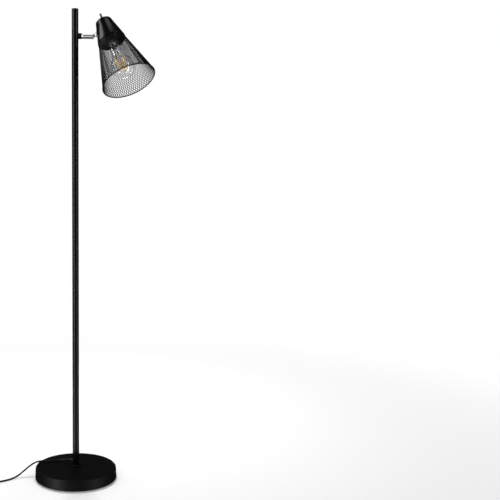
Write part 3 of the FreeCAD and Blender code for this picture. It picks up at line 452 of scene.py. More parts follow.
def spun(outline, segments=TURNED_SEGMENTS, inside_out=False):
    """A closed bmesh: the outline of (radius, height) in millimetres, spun about the z axis."""
    mesh = bmesh.new()
    turns = [2 * math.pi * i / segments for i in range(segments)]
    rings = []
    for radius, height in outline:
        if radius < 1e-6:
            rings.append([mesh.verts.new((0, 0, height * MM))])
        else:
            rings.append([mesh.verts.new((radius * MM * math.cos(t), radius * MM * math.sin(t), height * MM))
                          for t in turns])
    for a, b in zip(rings, rings[1:] + rings[:1]):
        if len(a) == 1 and len(b) == 1:
            continue
        for i in range(segments):
            j = (i + 1) % segments
            if len(a) == 1:
                mesh.faces.new((a[0], b[j], b[i]))
            elif len(b) == 1:
                mesh.faces.new((a[i], a[j], b[0]))
            else:
                mesh.faces.new((a[i], a[j], b[j], b[i]))
    bmesh.ops.recalc_face_normals(mesh, faces=mesh.faces)
    if inside_out:
        bmesh.ops.reverse_faces(mesh, faces=mesh.faces)
    return mesh


def as_mesh(shells, place=UPRIGHT, angle=SMOOTH_ANGLE):
    """One mesh from several bmeshes, smoothed and put in place."""
    mesh = bpy.data.meshes.new("turned")
    whole = bmesh.new()
    for shell in shells:
        part = bpy.data.meshes.new("shell")
        shell.to_mesh(part)
        shell.free()
        whole.from_mesh(part)
        bpy.data.meshes.remove(part)
    whole.to_mesh(mesh)
    whole.free()
    mesh.transform(place)
    smooth(mesh, angle)
    return mesh


def turned(outline, place=UPRIGHT, segments=TURNED_SEGMENTS):
    return as_mesh([spun(filleted(outline), segments)], place)


def merged_copy(node, angle=SMOOTH_ANGLE):
    """A node's own mesh with its loose triangles joined, so that it shades smoothly."""
    mesh = frame["nodes"][node].data.copy()
    joined = bmesh.new()
    joined.from_mesh(mesh)
    bmesh.ops.remove_doubles(joined, verts=joined.verts, dist=1e-6)
    joined.to_mesh(mesh)
    joined.free()
    smooth(mesh, angle)
    return mesh


# ---- Geometry node trees ----
def new_geometry_tree(name, sizes, with_geometry=False):
    """A tree with named inputs; sizes maps each name to its socket type and default."""
    tree = bpy.data.node_groups.new(name, "GeometryNodeTree")
    face = tree.interface
    face.new_socket("Geometry", in_out="OUTPUT", socket_type="NodeSocketGeometry")
    if with_geometry:
        face.new_socket("Geometry", in_out="INPUT", socket_type="NodeSocketGeometry")
    for size, (kind, default) in sizes.items():
        socket = face.new_socket(size, in_out="INPUT", socket_type=kind)
        if default is not None:
            socket.default_value = default
    graph = Graph(tree)
    entry = tree.nodes.new("NodeGroupInput")
    values = {socket.name: Value(graph, socket) for socket in entry.outputs if socket.name}
    return tree, graph, values


def end_geometry_tree(graph, geometry, material):
    """Realize Instances and Set Material close the tree."""
    real = graph.node("GeometryNodeRealizeInstances", None, {"Geometry": geometry})
    painted_geometry = graph.node("GeometryNodeSetMaterial", None, {"Geometry": real, "Material": material})
    graph.node("NodeGroupOutput", None, {"Geometry": painted_geometry})


def grown(tree, values, start_mesh, place=UPRIGHT):
    """Runs a tree on a throwaway object and returns the plain mesh that it makes, put in place."""
    holder = bpy.data.objects.new("holder", start_mesh)
    bpy.context.scene.collection.objects.link(holder)
    modifier = holder.modifiers.new("grown", "NODES")
    modifier.node_group = tree
    keys = {item.name: item.identifier for item in tree.interface.items_tree
            if item.item_type == "SOCKET" and item.in_out == "INPUT"}
    for name, value in values.items():
        modifier[keys[name]] = value
    depsgraph = bpy.context.evaluated_depsgraph_get()
    mesh = bpy.data.meshes.new_from_object(holder.evaluated_get(depsgraph), depsgraph=depsgraph)
    holder.modifiers.remove(modifier)
    bpy.data.objects.remove(holder)
    mesh.transform(place)
    smooth(mesh)
    return mesh


def cage_tree():
    """Two families of slanting strands that cross in diamonds which widen with the cone."""
    tree, graph, size = new_geometry_tree("Diamond Cage", {
        "Top Radius": ("NodeSocketFloat", 0.04),
        "Rim Radius": ("NodeSocketFloat", 0.08),
        "Top Depth": ("NodeSocketFloat", 0.07),
        "Rim Depth": ("NodeSocketFloat", 0.2),
        "Cells Around": ("NodeSocketInt", 68),
        "Half Rows": ("NodeSocketInt", 34),
        "Strand Radius": ("NodeSocketFloat", 0.0006),
        "Material": ("NodeSocketMaterial", None),
    })
    index = graph.node("GeometryNodeInputIndex")
    share = index / size["Half Rows"]
    radius = size["Top Radius"] * (size["Rim Radius"] / size["Top Radius"]) ** share
    reach = size["Rim Depth"] - size["Top Depth"]
    swell = size["Rim Radius"] - size["Top Radius"]
    depth = size["Top Depth"] + reach * (radius - size["Top Radius"]) / swell
    profile = graph.node("GeometryNodeCurvePrimitiveCircle", None,
                         {"Resolution": 6, "Radius": size["Strand Radius"]})
    strands = []
    for way in (1.0, -1.0):
        angle = index * (way * math.pi) / size["Cells Around"]
        place = graph.node("ShaderNodeCombineXYZ", None,
                           {"X": radius * angle.cos(), "Y": radius * angle.sin(), "Z": depth})
        line = graph.node("GeometryNodeMeshLine", None, {"Count": size["Half Rows"] + 1})
        line = graph.node("GeometryNodeSetPosition", None, {"Geometry": line, "Position": place})
        curve = graph.node("GeometryNodeMeshToCurve", None, {"Mesh": line})
        swelling = radius / size["Rim Radius"]
        curve = graph.node("GeometryNodeSetCurveRadius", None, {"Curve": curve, "Radius": swelling})
        strands.append(graph.node("GeometryNodeCurveToMesh", None,
                                  {"Curve": curve, "Profile Curve": profile, "Scale": swelling,
                                   "Fill Caps": True}))
    pair = graph.node("GeometryNodeJoinGeometry", None, {"Geometry": strands[0]})
    graph.tree.links.new(strands[1].socket, pair.socket.node.inputs["Geometry"])
    centre = graph.node("ShaderNodeCombineXYZ")
    places = graph.node("GeometryNodeMeshLine", None, {"Count": size["Cells Around"]})
    places = graph.node("GeometryNodeSetPosition", None, {"Geometry": places, "Position": centre})
    turn = index * (2 * math.pi) / size["Cells Around"]
    rotation = graph.node("ShaderNodeCombineXYZ", None, {"Z": turn})
    repeated = graph.node("GeometryNodeInstanceOnPoints", None,
                          {"Points": places, "Instance": pair, "Rotation": rotation})
    end_geometry_tree(graph, repeated, size["Material"])
    return tree


def ring_tree():
    """Copies the object's own mesh round the z axis."""
    tree, graph, size = new_geometry_tree("Ring Of Copies", {
        "Count": ("NodeSocketInt", 4),
        "First Turn": ("NodeSocketFloat", 0.0),
        "Material": ("NodeSocketMaterial", None),
    }, with_geometry=True)
    index = graph.node("GeometryNodeInputIndex")
    centre = graph.node("ShaderNodeCombineXYZ")
    places = graph.node("GeometryNodeMeshLine", None, {"Count": size["Count"]})
    places = graph.node("GeometryNodeSetPosition", None, {"Geometry": places, "Position": centre})
    turn = size["First Turn"] + index * (2 * math.pi) / size["Count"]
    rotation = graph.node("ShaderNodeCombineXYZ", None, {"Z": turn})
    repeated = graph.node("GeometryNodeInstanceOnPoints", None,
                          {"Points": places, "Instance": size["Geometry"], "Rotation": rotation})
    end_geometry_tree(graph, repeated, size["Material"])
    return tree


def ring_of(mesh, count, first_turn, material, place):
    values = {"Count": count, "First Turn": first_turn, "Material": material}
    return grown(ring_tree(), values, mesh, place)


# ---- Settings shown in the panel ----
class LampPaint(bpy.types.PropertyGroup):
    """Colours and gloss of the lamp's finishes"""

    black: bpy.props.FloatVectorProperty(
        name="Black", description="Colour of the powder coat", subtype="COLOR", size=4,
        min=0.0, max=1.0, default=(0.0018, 0.0018, 0.0020, 1.0))
    gloss: bpy.props.FloatProperty(
        name="Roughness", description="Roughness of the powder coat", subtype="FACTOR",
        min=0.0, max=1.0, default=0.22)
    sheen: bpy.props.FloatProperty(
        name="Sheen", description="Share of the light that the powder coat mirrors", subtype="FACTOR",
        min=0.0, max=1.0, default=0.013)
    filament: bpy.props.FloatVectorProperty(
        name="Filament", description="Colour of the bulb's filaments", subtype="COLOR", size=4,
        min=0.0, max=1.0, default=(0.95, 0.58, 0.05, 1.0))
    # Strength of the filaments' painted glow: emission that makes them shine although the bulb is off.
    painted_glow: bpy.props.FloatProperty(
        name="Glow", description="How strongly the filaments hold their own colour",
        min=0.0, max=5.0, default=0.7)


class LampCage(bpy.types.PropertyGroup):
    """Sizes of the cage's mesh"""

    cells: bpy.props.IntProperty(
        name="Cells Around", description="Diamonds in one turn of the cage", min=8, max=160, default=68)
    rows: bpy.props.IntProperty(
        name="Half Rows", description="Half diamonds from the cup to the rim", min=4, max=120, default=34)
    strand: bpy.props.FloatProperty(
        name="Strand Radius", description="Half the thickness of a strand at the rim",
        subtype="DISTANCE", unit="LENGTH",
        min=0.0002, max=0.003, default=0.00094)


class LampKnob(bpy.types.PropertyGroup):
    """Sizes of the switch knob"""

    ribs: bpy.props.IntProperty(
        name="Ribs", description="Ribs round the knob", min=6, max=60, default=20)
    radius: bpy.props.FloatProperty(
        name="Radius", description="Radius of the knob over its ribs", subtype="DISTANCE", unit="LENGTH",
        min=0.001, max=0.01, default=0.0033)


class LampStage(bpy.types.PropertyGroup):
    """Lights and background"""

    left: bpy.props.FloatProperty(
        name="Left Light", description="Power of the tall light on the left", unit="POWER", default=130.0)
    right: bpy.props.FloatProperty(
        name="Right Light", description="Power of the tall light on the right", unit="POWER", default=60.0)
    above: bpy.props.FloatProperty(
        name="Top Light", description="Power of the broad light above", unit="POWER", default=47.0)
    cup_left: bpy.props.FloatProperty(
        name="Cup Left Light", description="Power of the light on the cup's left side",
        unit="POWER", default=40.0)
    cup_top: bpy.props.FloatProperty(
        name="Cup Top Light", description="Power of the light over the cup", unit="POWER", default=3.6)
    room: bpy.props.FloatProperty(
        name="Room Light", description="Strength of the even light from all round", default=0.55)
    gleam: bpy.props.FloatProperty(
        name="Room Gleam", description="How bright the dark side of the room is in gloss", default=0.18)
    floor_colour: bpy.props.FloatVectorProperty(
        name="Floor", description="Colour of the floor", subtype="COLOR", size=4,
        min=0.0, max=1.0, default=(0.92, 0.92, 0.92, 1.0))


finishes = {}


def finish(slot):
    """The material of a slot, made the first time that it is asked for."""
    if slot not in finishes:
        finishes[slot] = FINISH_MAKERS[slot]()
    return finishes[slot]


def paint():
    return bpy.context.scene.lamp_paint


FINISH_MAKERS = {
    "black_paint": lambda: painted(
        "Black powder coat", paint().black, paint().gloss, paint().sheen, 1500.0, 0.05),
    "base_paint": lambda: painted(
        "Black powder coat, matt", paint().black, 0.5, paint().sheen * 0.55, 1500.0, 0.05),
    "black_wire": lambda: painted("Black wire paint", paint().black, 0.40, paint().sheen, 1200.0, 0.06),
    "foam_pad": lambda: moulded("Foam pad", srgb("2A2A2B"), 0.85, 0.2, 700.0, 0.5),
    "cast_iron": lambda: painted("Raw casting", srgb("3F3E3D"), 0.75, 0.4, 260.0, 0.6),
    "zinc_steel": lambda: metal("Zinc plate", srgb("BFC0BE"), 0.34, 0.16),
    "grey_steel": lambda: metal("Dull nickel", srgb("A5A6A8"), 0.30, 0.12, (900.0, 900.0, 900.0), 0.12),
    "chrome": lambda: metal("Chrome", srgb("DDDFE2"), 0.08, 0.04, (60.0, 1400.0, 1400.0), 0.03),
    "knob_metal": lambda: metal("Ribbed nickel", srgb("5E5F62"), 0.30, 0.12, (1200.0, 1200.0, 1200.0), 0.1),
    "nickel": lambda: metal("Nickel plate", srgb("C9C5BD"), 0.22, 0.10),
    "brass": lambda: metal("Brass", srgb("C79A4B"), 0.25, 0.12),
    "white_nylon": lambda: moulded("Natural nylon", srgb("E3E1DA"), 0.5),
    "black_plastic": lambda: moulded("Black moulding", srgb("161617"), 0.42, 0.35, 900.0, 0.1),
    "black_cord": lambda: moulded("Cord sheath", srgb("0C0C0D"), 0.45, 0.15, 700.0, 0.08),
    "clear_glass": lambda: glass("Clear glass", (0.97, 0.975, 0.98, 1.0)),
    # The filaments' finish carries a painted glow: they emit light although the bulb is unlit.
    "amber_phosphor": lambda: phosphor("Phosphor", paint().filament, paint().painted_glow),
}


# ---- The base and the pole ----
class FLOORLAMP_OT_base(bpy.types.Operator):
    """Makes the round base: its pressed cover and the pad that it stands on"""

    bl_idname = "floor_lamp.base"
    bl_label = "Base"

    def execute(self, context):
        cover = turned([
            (BASE_HOLE, BASE_HEIGHT),
            (BASE_TOP_RADIUS, BASE_HEIGHT, BASE_EDGE),
            (BASE_RADIUS, BASE_PAD, 0.5),
            (BASE_RADIUS - BASE_FLANGE, BASE_PAD),
            (BASE_RADIUS - BASE_FLANGE, BASE_PAD + SHEET_WALL),
            (BASE_RADIUS - SHEET_WALL, BASE_PAD + SHEET_WALL),
            (BASE_TOP_RADIUS - SHEET_WALL, BASE_HEIGHT - SHEET_WALL, BASE_EDGE_INSIDE),
            (BASE_HOLE, BASE_HEIGHT - SHEET_WALL),
        ], segments=BASE_SEGMENTS)
        new_piece("base_shell", cover, "stand", finish("base_paint"), ["base_cover"])
        pad = turned([(0, 0), (BASE_PAD_RADIUS, 0, 0.6), (BASE_PAD_RADIUS, BASE_PAD, 0.3), (0, BASE_PAD)],
                     segments=PAD_SEGMENTS)
        new_piece("base_foam", pad, "stand", finish("foam_pad"), ["base_pad"])
        return {"FINISHED"}


class FLOORLAMP_OT_pole(bpy.types.Operator):
    """Makes the pole's three screwed sections, its end cap and the collar at its foot"""

    bl_idname = "floor_lamp.pole"
    bl_label = "Pole"

    def execute(self, context):
        black = finish("black_paint")
        length = (POLE_TOP - BASE_HEIGHT) / len(POLE_NODES)
        for i, node in enumerate(POLE_NODES):
            low = BASE_HEIGHT + i * length
            high = low + length
            outline = [(POLE_BORE, low), (POLE_RADIUS, low, 0.15), (POLE_RADIUS, high, 0.15),
                       (POLE_BORE, high)]
            if i:
                seam = low + SEAM_WIDTH
                outline[1:2] = [(POLE_RADIUS - SEAM_DEPTH, low), (POLE_RADIUS - SEAM_DEPTH, seam),
                                (POLE_RADIUS, seam, 0.1)]
            new_piece(node + "_tube", turned(outline), "stand", black, [node])
        rise = CAP_DOME - CAP_EDGE
        curve = (POLE_RADIUS ** 2 + rise ** 2) / (2 * rise)
        crown_centre = (0, POLE_TOP + CAP_DOME - curve)
        crown_start = math.degrees(math.acos(POLE_RADIUS / curve))
        crown = arc_points(crown_centre, curve, crown_start, 90, 10)
        cap = turned([(0, POLE_TOP - CAP_PLUG), (CAP_PLUG_RADIUS, POLE_TOP - CAP_PLUG, 0.5),
                      (CAP_PLUG_RADIUS, POLE_TOP),
                      (POLE_RADIUS, POLE_TOP), (POLE_RADIUS, POLE_TOP + CAP_EDGE, 0.6), *crown[2:-1],
                      (0, POLE_TOP + CAP_DOME)])
        new_piece("pole_end_cap", cap, "stand", black, ["pole_cap"])
        foot_top = BASE_HEIGHT + FOOT_HEIGHT
        collar = turned([(FOOT_BORE, BASE_HEIGHT), (FOOT_RADIUS, BASE_HEIGHT, 0.3),
                         (FOOT_RADIUS, foot_top, FOOT_EDGE), (FOOT_BORE, foot_top, 0.5)])
        new_piece("foot_ring", collar, "stand", finish("base_paint"), ["foot_collar"])
        return {"FINISHED"}


# ---- The arm and the swivel ----
class FLOORLAMP_OT_arm(bpy.types.Operator):
    """Makes the black collar and the chrome arm with its rounded socket"""

    bl_idname = "floor_lamp.arm"
    bl_label = "Arm"

    def execute(self, context):
        new_piece("arm_sleeve", merged_copy("arm_collar"), "stand", finish("black_paint"),
                  ["arm_collar"])
        socket = BALL_RADIUS + RUNNING_GAP
        inner_end = BALL_OFFSET - math.sqrt(ARM_BORE ** 2 - ARM_SEAT ** 2)
        mouth_turn = math.degrees(math.asin((ARM_MOUTH - BALL_OFFSET) / ARM_RADIUS))
        inner_turn = math.degrees(math.asin((ARM_MOUTH - BALL_OFFSET) / socket))
        outline = filleted([
            (ARM_HOLE, ARM_START),
            (ARM_RADIUS, ARM_START, 0.5),
            (ARM_RADIUS, ARM_START + GROOVE_START, 0.12),
            (ARM_RADIUS - GROOVE_DEPTH, ARM_START + GROOVE_START + GROOVE_SLOPE),
            (ARM_RADIUS - GROOVE_DEPTH, ARM_START + GROOVE_END - GROOVE_SLOPE),
            (ARM_RADIUS, ARM_START + GROOVE_END, 0.12),
        ], closed=False)
        outline += arc_points((0, BALL_OFFSET), ARM_RADIUS, 0, mouth_turn, 8)
        outline += arc_points((0, BALL_OFFSET), socket, inner_turn, -14, 10)
        outline += [(ARM_BORE, inner_end), (ARM_BORE, ARM_WALL_END), (ARM_HOLE, ARM_WALL_END)]
        tube = as_mesh([spun(outline)], ARM)
        new_piece("chrome_arm", tube, "arm", finish("chrome"), ["arm_tube"])
        return {"FINISHED"}


class FLOORLAMP_OT_swivel(bpy.types.Operator):
    """Makes the ball stud, its lock nut, the plate on the cup and the two plate screws"""

    bl_idname = "floor_lamp.swivel"
    bl_label = "Swivel"

    def execute(self, context):
        steel = finish("grey_steel")
        neck_turn = math.degrees(math.acos(STUD_NECK / BALL_RADIUS))
        outline = [(STUD_BORE, STUD_BOTTOM)] + arc_points((0, 0), BALL_RADIUS, -76, neck_turn, 28)
        outline += [(STUD_NECK, LOCK_NUT_START), (STUD_THREAD, LOCK_NUT_START), (STUD_THREAD, STUD_END),
                    (STUD_BORE, STUD_END)]
        stud = as_mesh([spun(outline, 96)], STUD)
        new_piece("ball_and_stud", stud, "swivel", finish("chrome"), ["ball_stud"])
        new_piece("lock_nut_faces", merged_copy("lock_nut", 20), "swivel", steel, ["lock_nut"])
        new_piece("mount_plate", merged_copy("swivel_plate"), "head", steel, ["swivel_plate"])

        head = turned([(0, SCREW_HEAD_START), (SCREW_HEAD_RADIUS, SCREW_HEAD_START, 1.2),
                       (SCREW_HEAD_RADIUS, PLATE_START), (SCREW_RADIUS, PLATE_START),
                       (SCREW_RADIUS, SCREW_END, 0.3), (0, SCREW_END)], segments=48)
        head.transform(Matrix.Translation((SCREW_OFFSET * MM, 0, 0)))
        screws = ring_of(head, 2, 0.0, steel, STUD)
        new_piece("mount_screws", screws, "head", steel, ["plate_screws"])
        return {"FINISHED"}


# ---- The cup, the switch and the lampholder ----
def cup_outer(depth, inset=0.0):
    slope = (CUP_MOUTH_RADIUS - CUP_TOP_RADIUS) / CUP_LENGTH
    return CUP_TOP_RADIUS + slope * depth - inset * math.sqrt(1 + slope * slope)


class FLOORLAMP_OT_cup(bpy.types.Operator):
    """Makes the black metal cup with its domed top and rolled hem"""

    bl_idname = "floor_lamp.cup"
    bl_label = "Cup"

    def execute(self, context):
        crown_curve = (CROWN_SPAN ** 2 + CROWN_RISE ** 2) / (2 * CROWN_RISE)

        def crown(radius, lift):
            return (radius, CUP_CROWN + lift + crown_curve - math.sqrt(crown_curve ** 2 - radius ** 2))

        hem_top = CUP_LENGTH - HEM_LENGTH
        outline = filleted([
            crown(CUP_HOLE, 0), *(crown(radius, 0) for radius in CROWN_RADII),
            (cup_outer(1.0), 1.0, CUP_SHOULDER),
            (cup_outer(CUP_LENGTH), CUP_LENGTH, 0.8),
            (cup_outer(CUP_LENGTH, HEM_WALL), CUP_LENGTH, 0.8),
            (cup_outer(hem_top, HEM_WALL), hem_top),
            (cup_outer(hem_top - 0.8, CUP_WALL), hem_top - 0.8),
            (cup_outer(1.9, CUP_WALL), 1.9, CUP_SHOULDER - CUP_WALL),
            *(crown(radius, CUP_WALL) for radius in reversed(CROWN_RADII)), crown(CUP_HOLE, CUP_WALL),
        ])
        cup = as_mesh([spun(outline, 160)], HEAD)
        new_piece("cup_shell", cup, "head", finish("black_paint"), ["cup"])
        return {"FINISHED"}


class FLOORLAMP_OT_switch(bpy.types.Operator):
    """Makes the ribbed knob and the nut of the rotary switch"""

    bl_idname = "floor_lamp.switch"
    bl_label = "Switch"

    def execute(self, context):
        settings = context.scene.lamp_knob
        metal_finish = finish("knob_metal")
        radius = settings.radius / MM
        inner = radius - RIB_RISE
        core = turned([(0, KNOB_TIP), (inner, KNOB_TIP, 0.6), (inner, KNOB_FOOT, 0.2),
                       (KNOB_STEM_RADIUS, KNOB_FOOT), (KNOB_STEM_RADIUS, KNOB_STEM_END), (0, KNOB_STEM_END)],
                      segments=64)
        rib_radius = math.pi * radius / settings.ribs * 0.52
        rib = turned([(0, KNOB_TIP + 0.3), (rib_radius, KNOB_TIP + 0.6, 0.05),
                      (rib_radius, KNOB_FOOT - 0.8, 0.05), (0, KNOB_FOOT - 0.5)], segments=10)
        rib.transform(Matrix.Translation((inner * MM, 0, 0)))
        ribs = ring_of(rib, settings.ribs, 0.0, metal_finish, UPRIGHT)
        whole = bmesh.new()
        whole.from_mesh(core)
        whole.from_mesh(ribs)
        whole.to_mesh(core)
        whole.free()
        core.transform(HEAD)
        smooth(core)
        new_piece("ribbed_knob", core, "knob", metal_finish, ["switch_knob"])
        nut = merged_copy("switch_nut", 20)
        new_piece("switch_hex_nut", nut, "head", finish("grey_steel"), ["switch_nut"])
        return {"FINISHED"}


class FLOORLAMP_OT_lampholder(bpy.types.Operator):
    """Dresses the lampholder and its screw shell"""

    bl_idname = "floor_lamp.lampholder"
    bl_label = "Lampholder"

    def execute(self, context):
        new_piece("holder_housing", merged_copy("lampholder_body"), "head", finish("black_plastic"),
                  ["lampholder_body"])
        new_piece("holder_screw_shell", merged_copy("lampholder_shell"), "head", finish("brass"),
                  ["lampholder_shell"])
        return {"FINISHED"}


# ---- The bulb ----
def glass_outline(inset):
    """A neck, a tangent flare and a round end, as the solid glass has them."""
    middle = BULB_BOTTOM - BULB_RADIUS
    rise = middle - BULB_NECK_END
    swell = BULB_RADIUS - BULB_NECK_RADIUS
    flare = (rise ** 2 - swell * (BULB_RADIUS + BULB_NECK_RADIUS)) / (2 * swell)
    flare_centre = (BULB_NECK_RADIUS + flare, BULB_NECK_END)
    sweep = math.degrees(math.atan2(rise, flare_centre[0]))
    low = BULB_CAP_END - BULB_SEAL + inset
    seal = BULB_SEAL_RADIUS - inset
    points = [(0, low), (seal, low), (seal, BULB_CAP_END + 1.0)]
    points += arc_points(flare_centre, flare + inset, 180, 180 - sweep, 24)
    points += arc_points((0, middle), BULB_RADIUS - inset, -sweep, 89, 48)[1:]
    return points + [(0, BULB_BOTTOM - inset)]


class FLOORLAMP_OT_bulb(bpy.types.Operator):
    """Makes the clear bulb with its stem, its four slanting filaments and its metal cap"""

    bl_idname = "floor_lamp.bulb"
    bl_label = "Bulb"

    def execute(self, context):
        clear = finish("clear_glass")
        shells = [spun(glass_outline(0), 96), spun(glass_outline(GLASS_WALL), 96, inside_out=True)]
        new_piece("bulb_envelope", as_mesh(shells, HEAD, 60), "head", clear, ["bulb_glass"])
        stem = turned(BULB_STEM, HEAD, 48)
        new_piece("bulb_glass_stem", stem, "head", clear, ["bulb_stem"])
        new_piece("bulb_filament_rods", merged_copy("bulb_filaments"), "head", finish("amber_phosphor"),
                  ["bulb_filaments"])
        new_piece("bulb_screw_cap", merged_copy("bulb_cap"), "head", finish("nickel"), ["bulb_cap"])
        return {"FINISHED"}


# ---- The cage ----
class FLOORLAMP_OT_cage(bpy.types.Operator):
    """Makes the cage of expanded metal, its rim wire and the band in the cup"""

    bl_idname = "floor_lamp.cage"
    bl_label = "Cage"

    def execute(self, context):
        settings = context.scene.lamp_cage
        wire = finish("black_wire")
        top_depth = CUP_LENGTH - MESH_START
        top_radius = cup_outer(CUP_LENGTH, HEM_WALL) - MESH_CLEARANCE
        mesh = grown(cage_tree(), {
            "Top Radius": top_radius * MM,
            "Rim Radius": (RIM_RADIUS - MESH_INSET) * MM,
            "Top Depth": top_depth * MM,
            "Rim Depth": (HEAD_LENGTH - MESH_END) * MM,
            "Cells Around": settings.cells,
            "Half Rows": settings.rows,
            "Strand Radius": settings.strand,
            "Material": wire,
        }, bpy.data.meshes.new("empty"), HEAD)
        new_piece("cage_strands", mesh, "head", wire, ["cage_mesh"])
        rim = as_mesh([spun(arc_points((RIM_RADIUS, HEAD_LENGTH), RIM_WIRE, 0, 330, 11), 192)], HEAD, 80)
        new_piece("cage_rim_wire", rim, "head", wire, ["cage_rim"])
        new_piece("cage_top_band", merged_copy("cage_band"), "head", wire, ["cage_band"])
        return {"FINISHED"}


# ---- The cord ----
def coil_point(turns):
    """The coil's centre line after that many turns, in millimetres."""
    period = COIL_LAYER_TURNS + COIL_CLIMB_TURNS
    layer = min(int(turns / period), COIL_LAYERS - 1)
    within = turns - layer * period
    swing = COIL_STEP * COIL_LAYER_TURNS / 2
    inward = 1 if layer % 2 == 0 else -1
    climbed = 0.0
    if within <= COIL_LAYER_TURNS:
        radius = COIL_RADIUS + inward * (swing - COIL_STEP * within)
    else:
        share = (within - COIL_LAYER_TURNS) / COIL_CLIMB_TURNS
        radius = COIL_RADIUS - inward * (swing + COIL_STEP * COIL_CLIMB_TURNS * min(share, 1 - share))
        climbed = COIL_LAYER_HEIGHT * (1 - math.cos(math.pi * share)) / 2
    angle = -math.pi / 2 - 2 * math.pi * turns
    height = CORD_RADIUS + CORD_REST + COIL_LAYER_HEIGHT * layer + climbed
    radius *= 2 / (1 + math.cos(math.pi / COIL_POINTS_PER_TURN))
    return Vector((COIL_CENTRE[0] + radius * math.cos(angle), COIL_CENTRE[1] + radius * math.sin(angle),
                   height))


def exit_way():
    azimuth, slope = math.radians(EXIT_AZIMUTH), math.radians(EXIT_SLOPE)
    level = math.cos(slope)
    return Vector((math.cos(azimuth) * level, math.sin(azimuth) * level, -math.sin(slope)))


def relief_tip():
    azimuth = math.radians(EXIT_AZIMUTH)
    start = Vector((math.cos(azimuth) * POLE_RADIUS, math.sin(azimuth) * POLE_RADIUS, EXIT_HEIGHT))
    return start + exit_way() * RELIEF_LENGTH


def cord_points():
    """The whole cord as one line: along the floor, round the coil and up to the plug."""
    tip = relief_tip()
    total = COIL_LAYERS * COIL_LAYER_TURNS + (COIL_LAYERS - 1) * COIL_CLIMB_TURNS
    count = round(total * COIL_POINTS_PER_TURN)
    coil = [coil_point(total * i / count) for i in range(count + 1)]
    straight = 2 * CORD_RADIUS
    entry = coil[0] - Vector((-straight, 0, 0))
    end_way = (coil[-1] - coil[-2]).normalized()
    leave = coil[-1] + end_way * straight
    route = [tip, tip + exit_way() * CORD_FIRST_RUN] + [Vector(p) for p in CORD_ROUTE]
    route += [entry + Vector((CORD_LAST_RUN, 0, 0)), entry] + coil
    route += [leave, leave + end_way * (TAIL_FIRST_RUN - straight)] + [Vector(p) for p in TAIL_ROUTE]
    return route


class FLOORLAMP_OT_cord(bpy.types.Operator):
    """Lays the mains cord out of the pole, over the base's edge and into its coil, with its plug"""

    bl_idname = "floor_lamp.cord"
    bl_label = "Cord"

    def execute(self, context):
        sheath = finish("black_cord")
        curve = bpy.data.curves.new("mains_cord", "CURVE")
        curve.dimensions = "3D"
        points = cord_points()
        spline = curve.splines.new("NURBS")
        spline.points.add(len(points) - 1)
        for point, place in zip(spline.points, points):
            point.co = (*(place * MM), 1.0)
        spline.order_u = 3
        spline.use_endpoint_u = True
        spline.resolution_u = 5
        curve.bevel_depth = CORD_RADIUS * MM
        curve.bevel_resolution = 3
        curve.use_fill_caps = True
        curve.materials.append(sheath)
        cord = bpy.data.objects.new("mains_cord", curve)
        context.scene.collection.objects.link(cord)
        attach(cord, "stand")
        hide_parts("cord", "cord_coil", "cord_tail")
        plug = new_piece("mains_plug", merged_copy("plug_body"), "stand", finish("black_plastic"),
                         ["plug_body"])
        blades = new_piece("mains_plug_blades", merged_copy("plug_blades"), "stand", finish("brass"),
                           ["plug_blades"])
        relief = new_piece("cord_sleeve", merged_copy("cord_relief"), "stand", finish("black_plastic"),
                           ["cord_relief"])
        return {"FINISHED"}


class FLOORLAMP_OT_inner(bpy.types.Operator):
    """Gives every solid that is shown as it is the finish of its slot"""

    bl_idname = "floor_lamp.inner"
    bl_label = "Inner Parts"

    def execute(self, context):
        for part in frame["record"]["subparts"]:
            node = frame["nodes"][part["node"]]
            node.data.materials.clear()
            node.data.materials.append(finish(part["material_slot"]))
        return {"FINISHED"}


# ---- The stage ----
def area_light(name, place, target, size, power, gloss):
    """A lamp that the camera doesn't see: it either shows in gloss or lights the rest, never both."""
    lamp = bpy.data.lights.new(name, "AREA")
    lamp.shape = "RECTANGLE"
    lamp.size, lamp.size_y = size
    lamp.energy = power
    light = bpy.data.objects.new(name, lamp)
    bpy.context.scene.collection.objects.link(light)
    light.location = place
    light.rotation_euler = (Vector(target) - Vector(place)).to_track_quat("-Z", "Y").to_euler()
    light.visible_camera = False
    light.visible_glossy = gloss
    light.visible_diffuse = not gloss
    return light


def light_rays(graph):
    """Two values: one for rays from the camera or through glass, and one for rays in gloss."""
    sockets = graph.node("ShaderNodeLightPath").socket.node.outputs
    direct = Value(graph, sockets["Is Camera Ray"]) + Value(graph, sockets["Is Transmission Ray"])
    return direct.clamped(0.0, 1.0), Value(graph, sockets["Is Glossy Ray"])


def parts_of(graph, vector):
    """The x, y and z of a vector."""
    sockets = graph.node("ShaderNodeSeparateXYZ", None, {0: vector}).socket.node.outputs
    return [Value(graph, socket) for socket in sockets]


def ramp(graph, value, start, end):
    """A smooth step from 0 at the start to 1 at the end."""
    return graph.node("ShaderNodeMapRange", {"interpolation_type": "SMOOTHSTEP"},
                      {"Value": value, "From Min": start, "From Max": end})


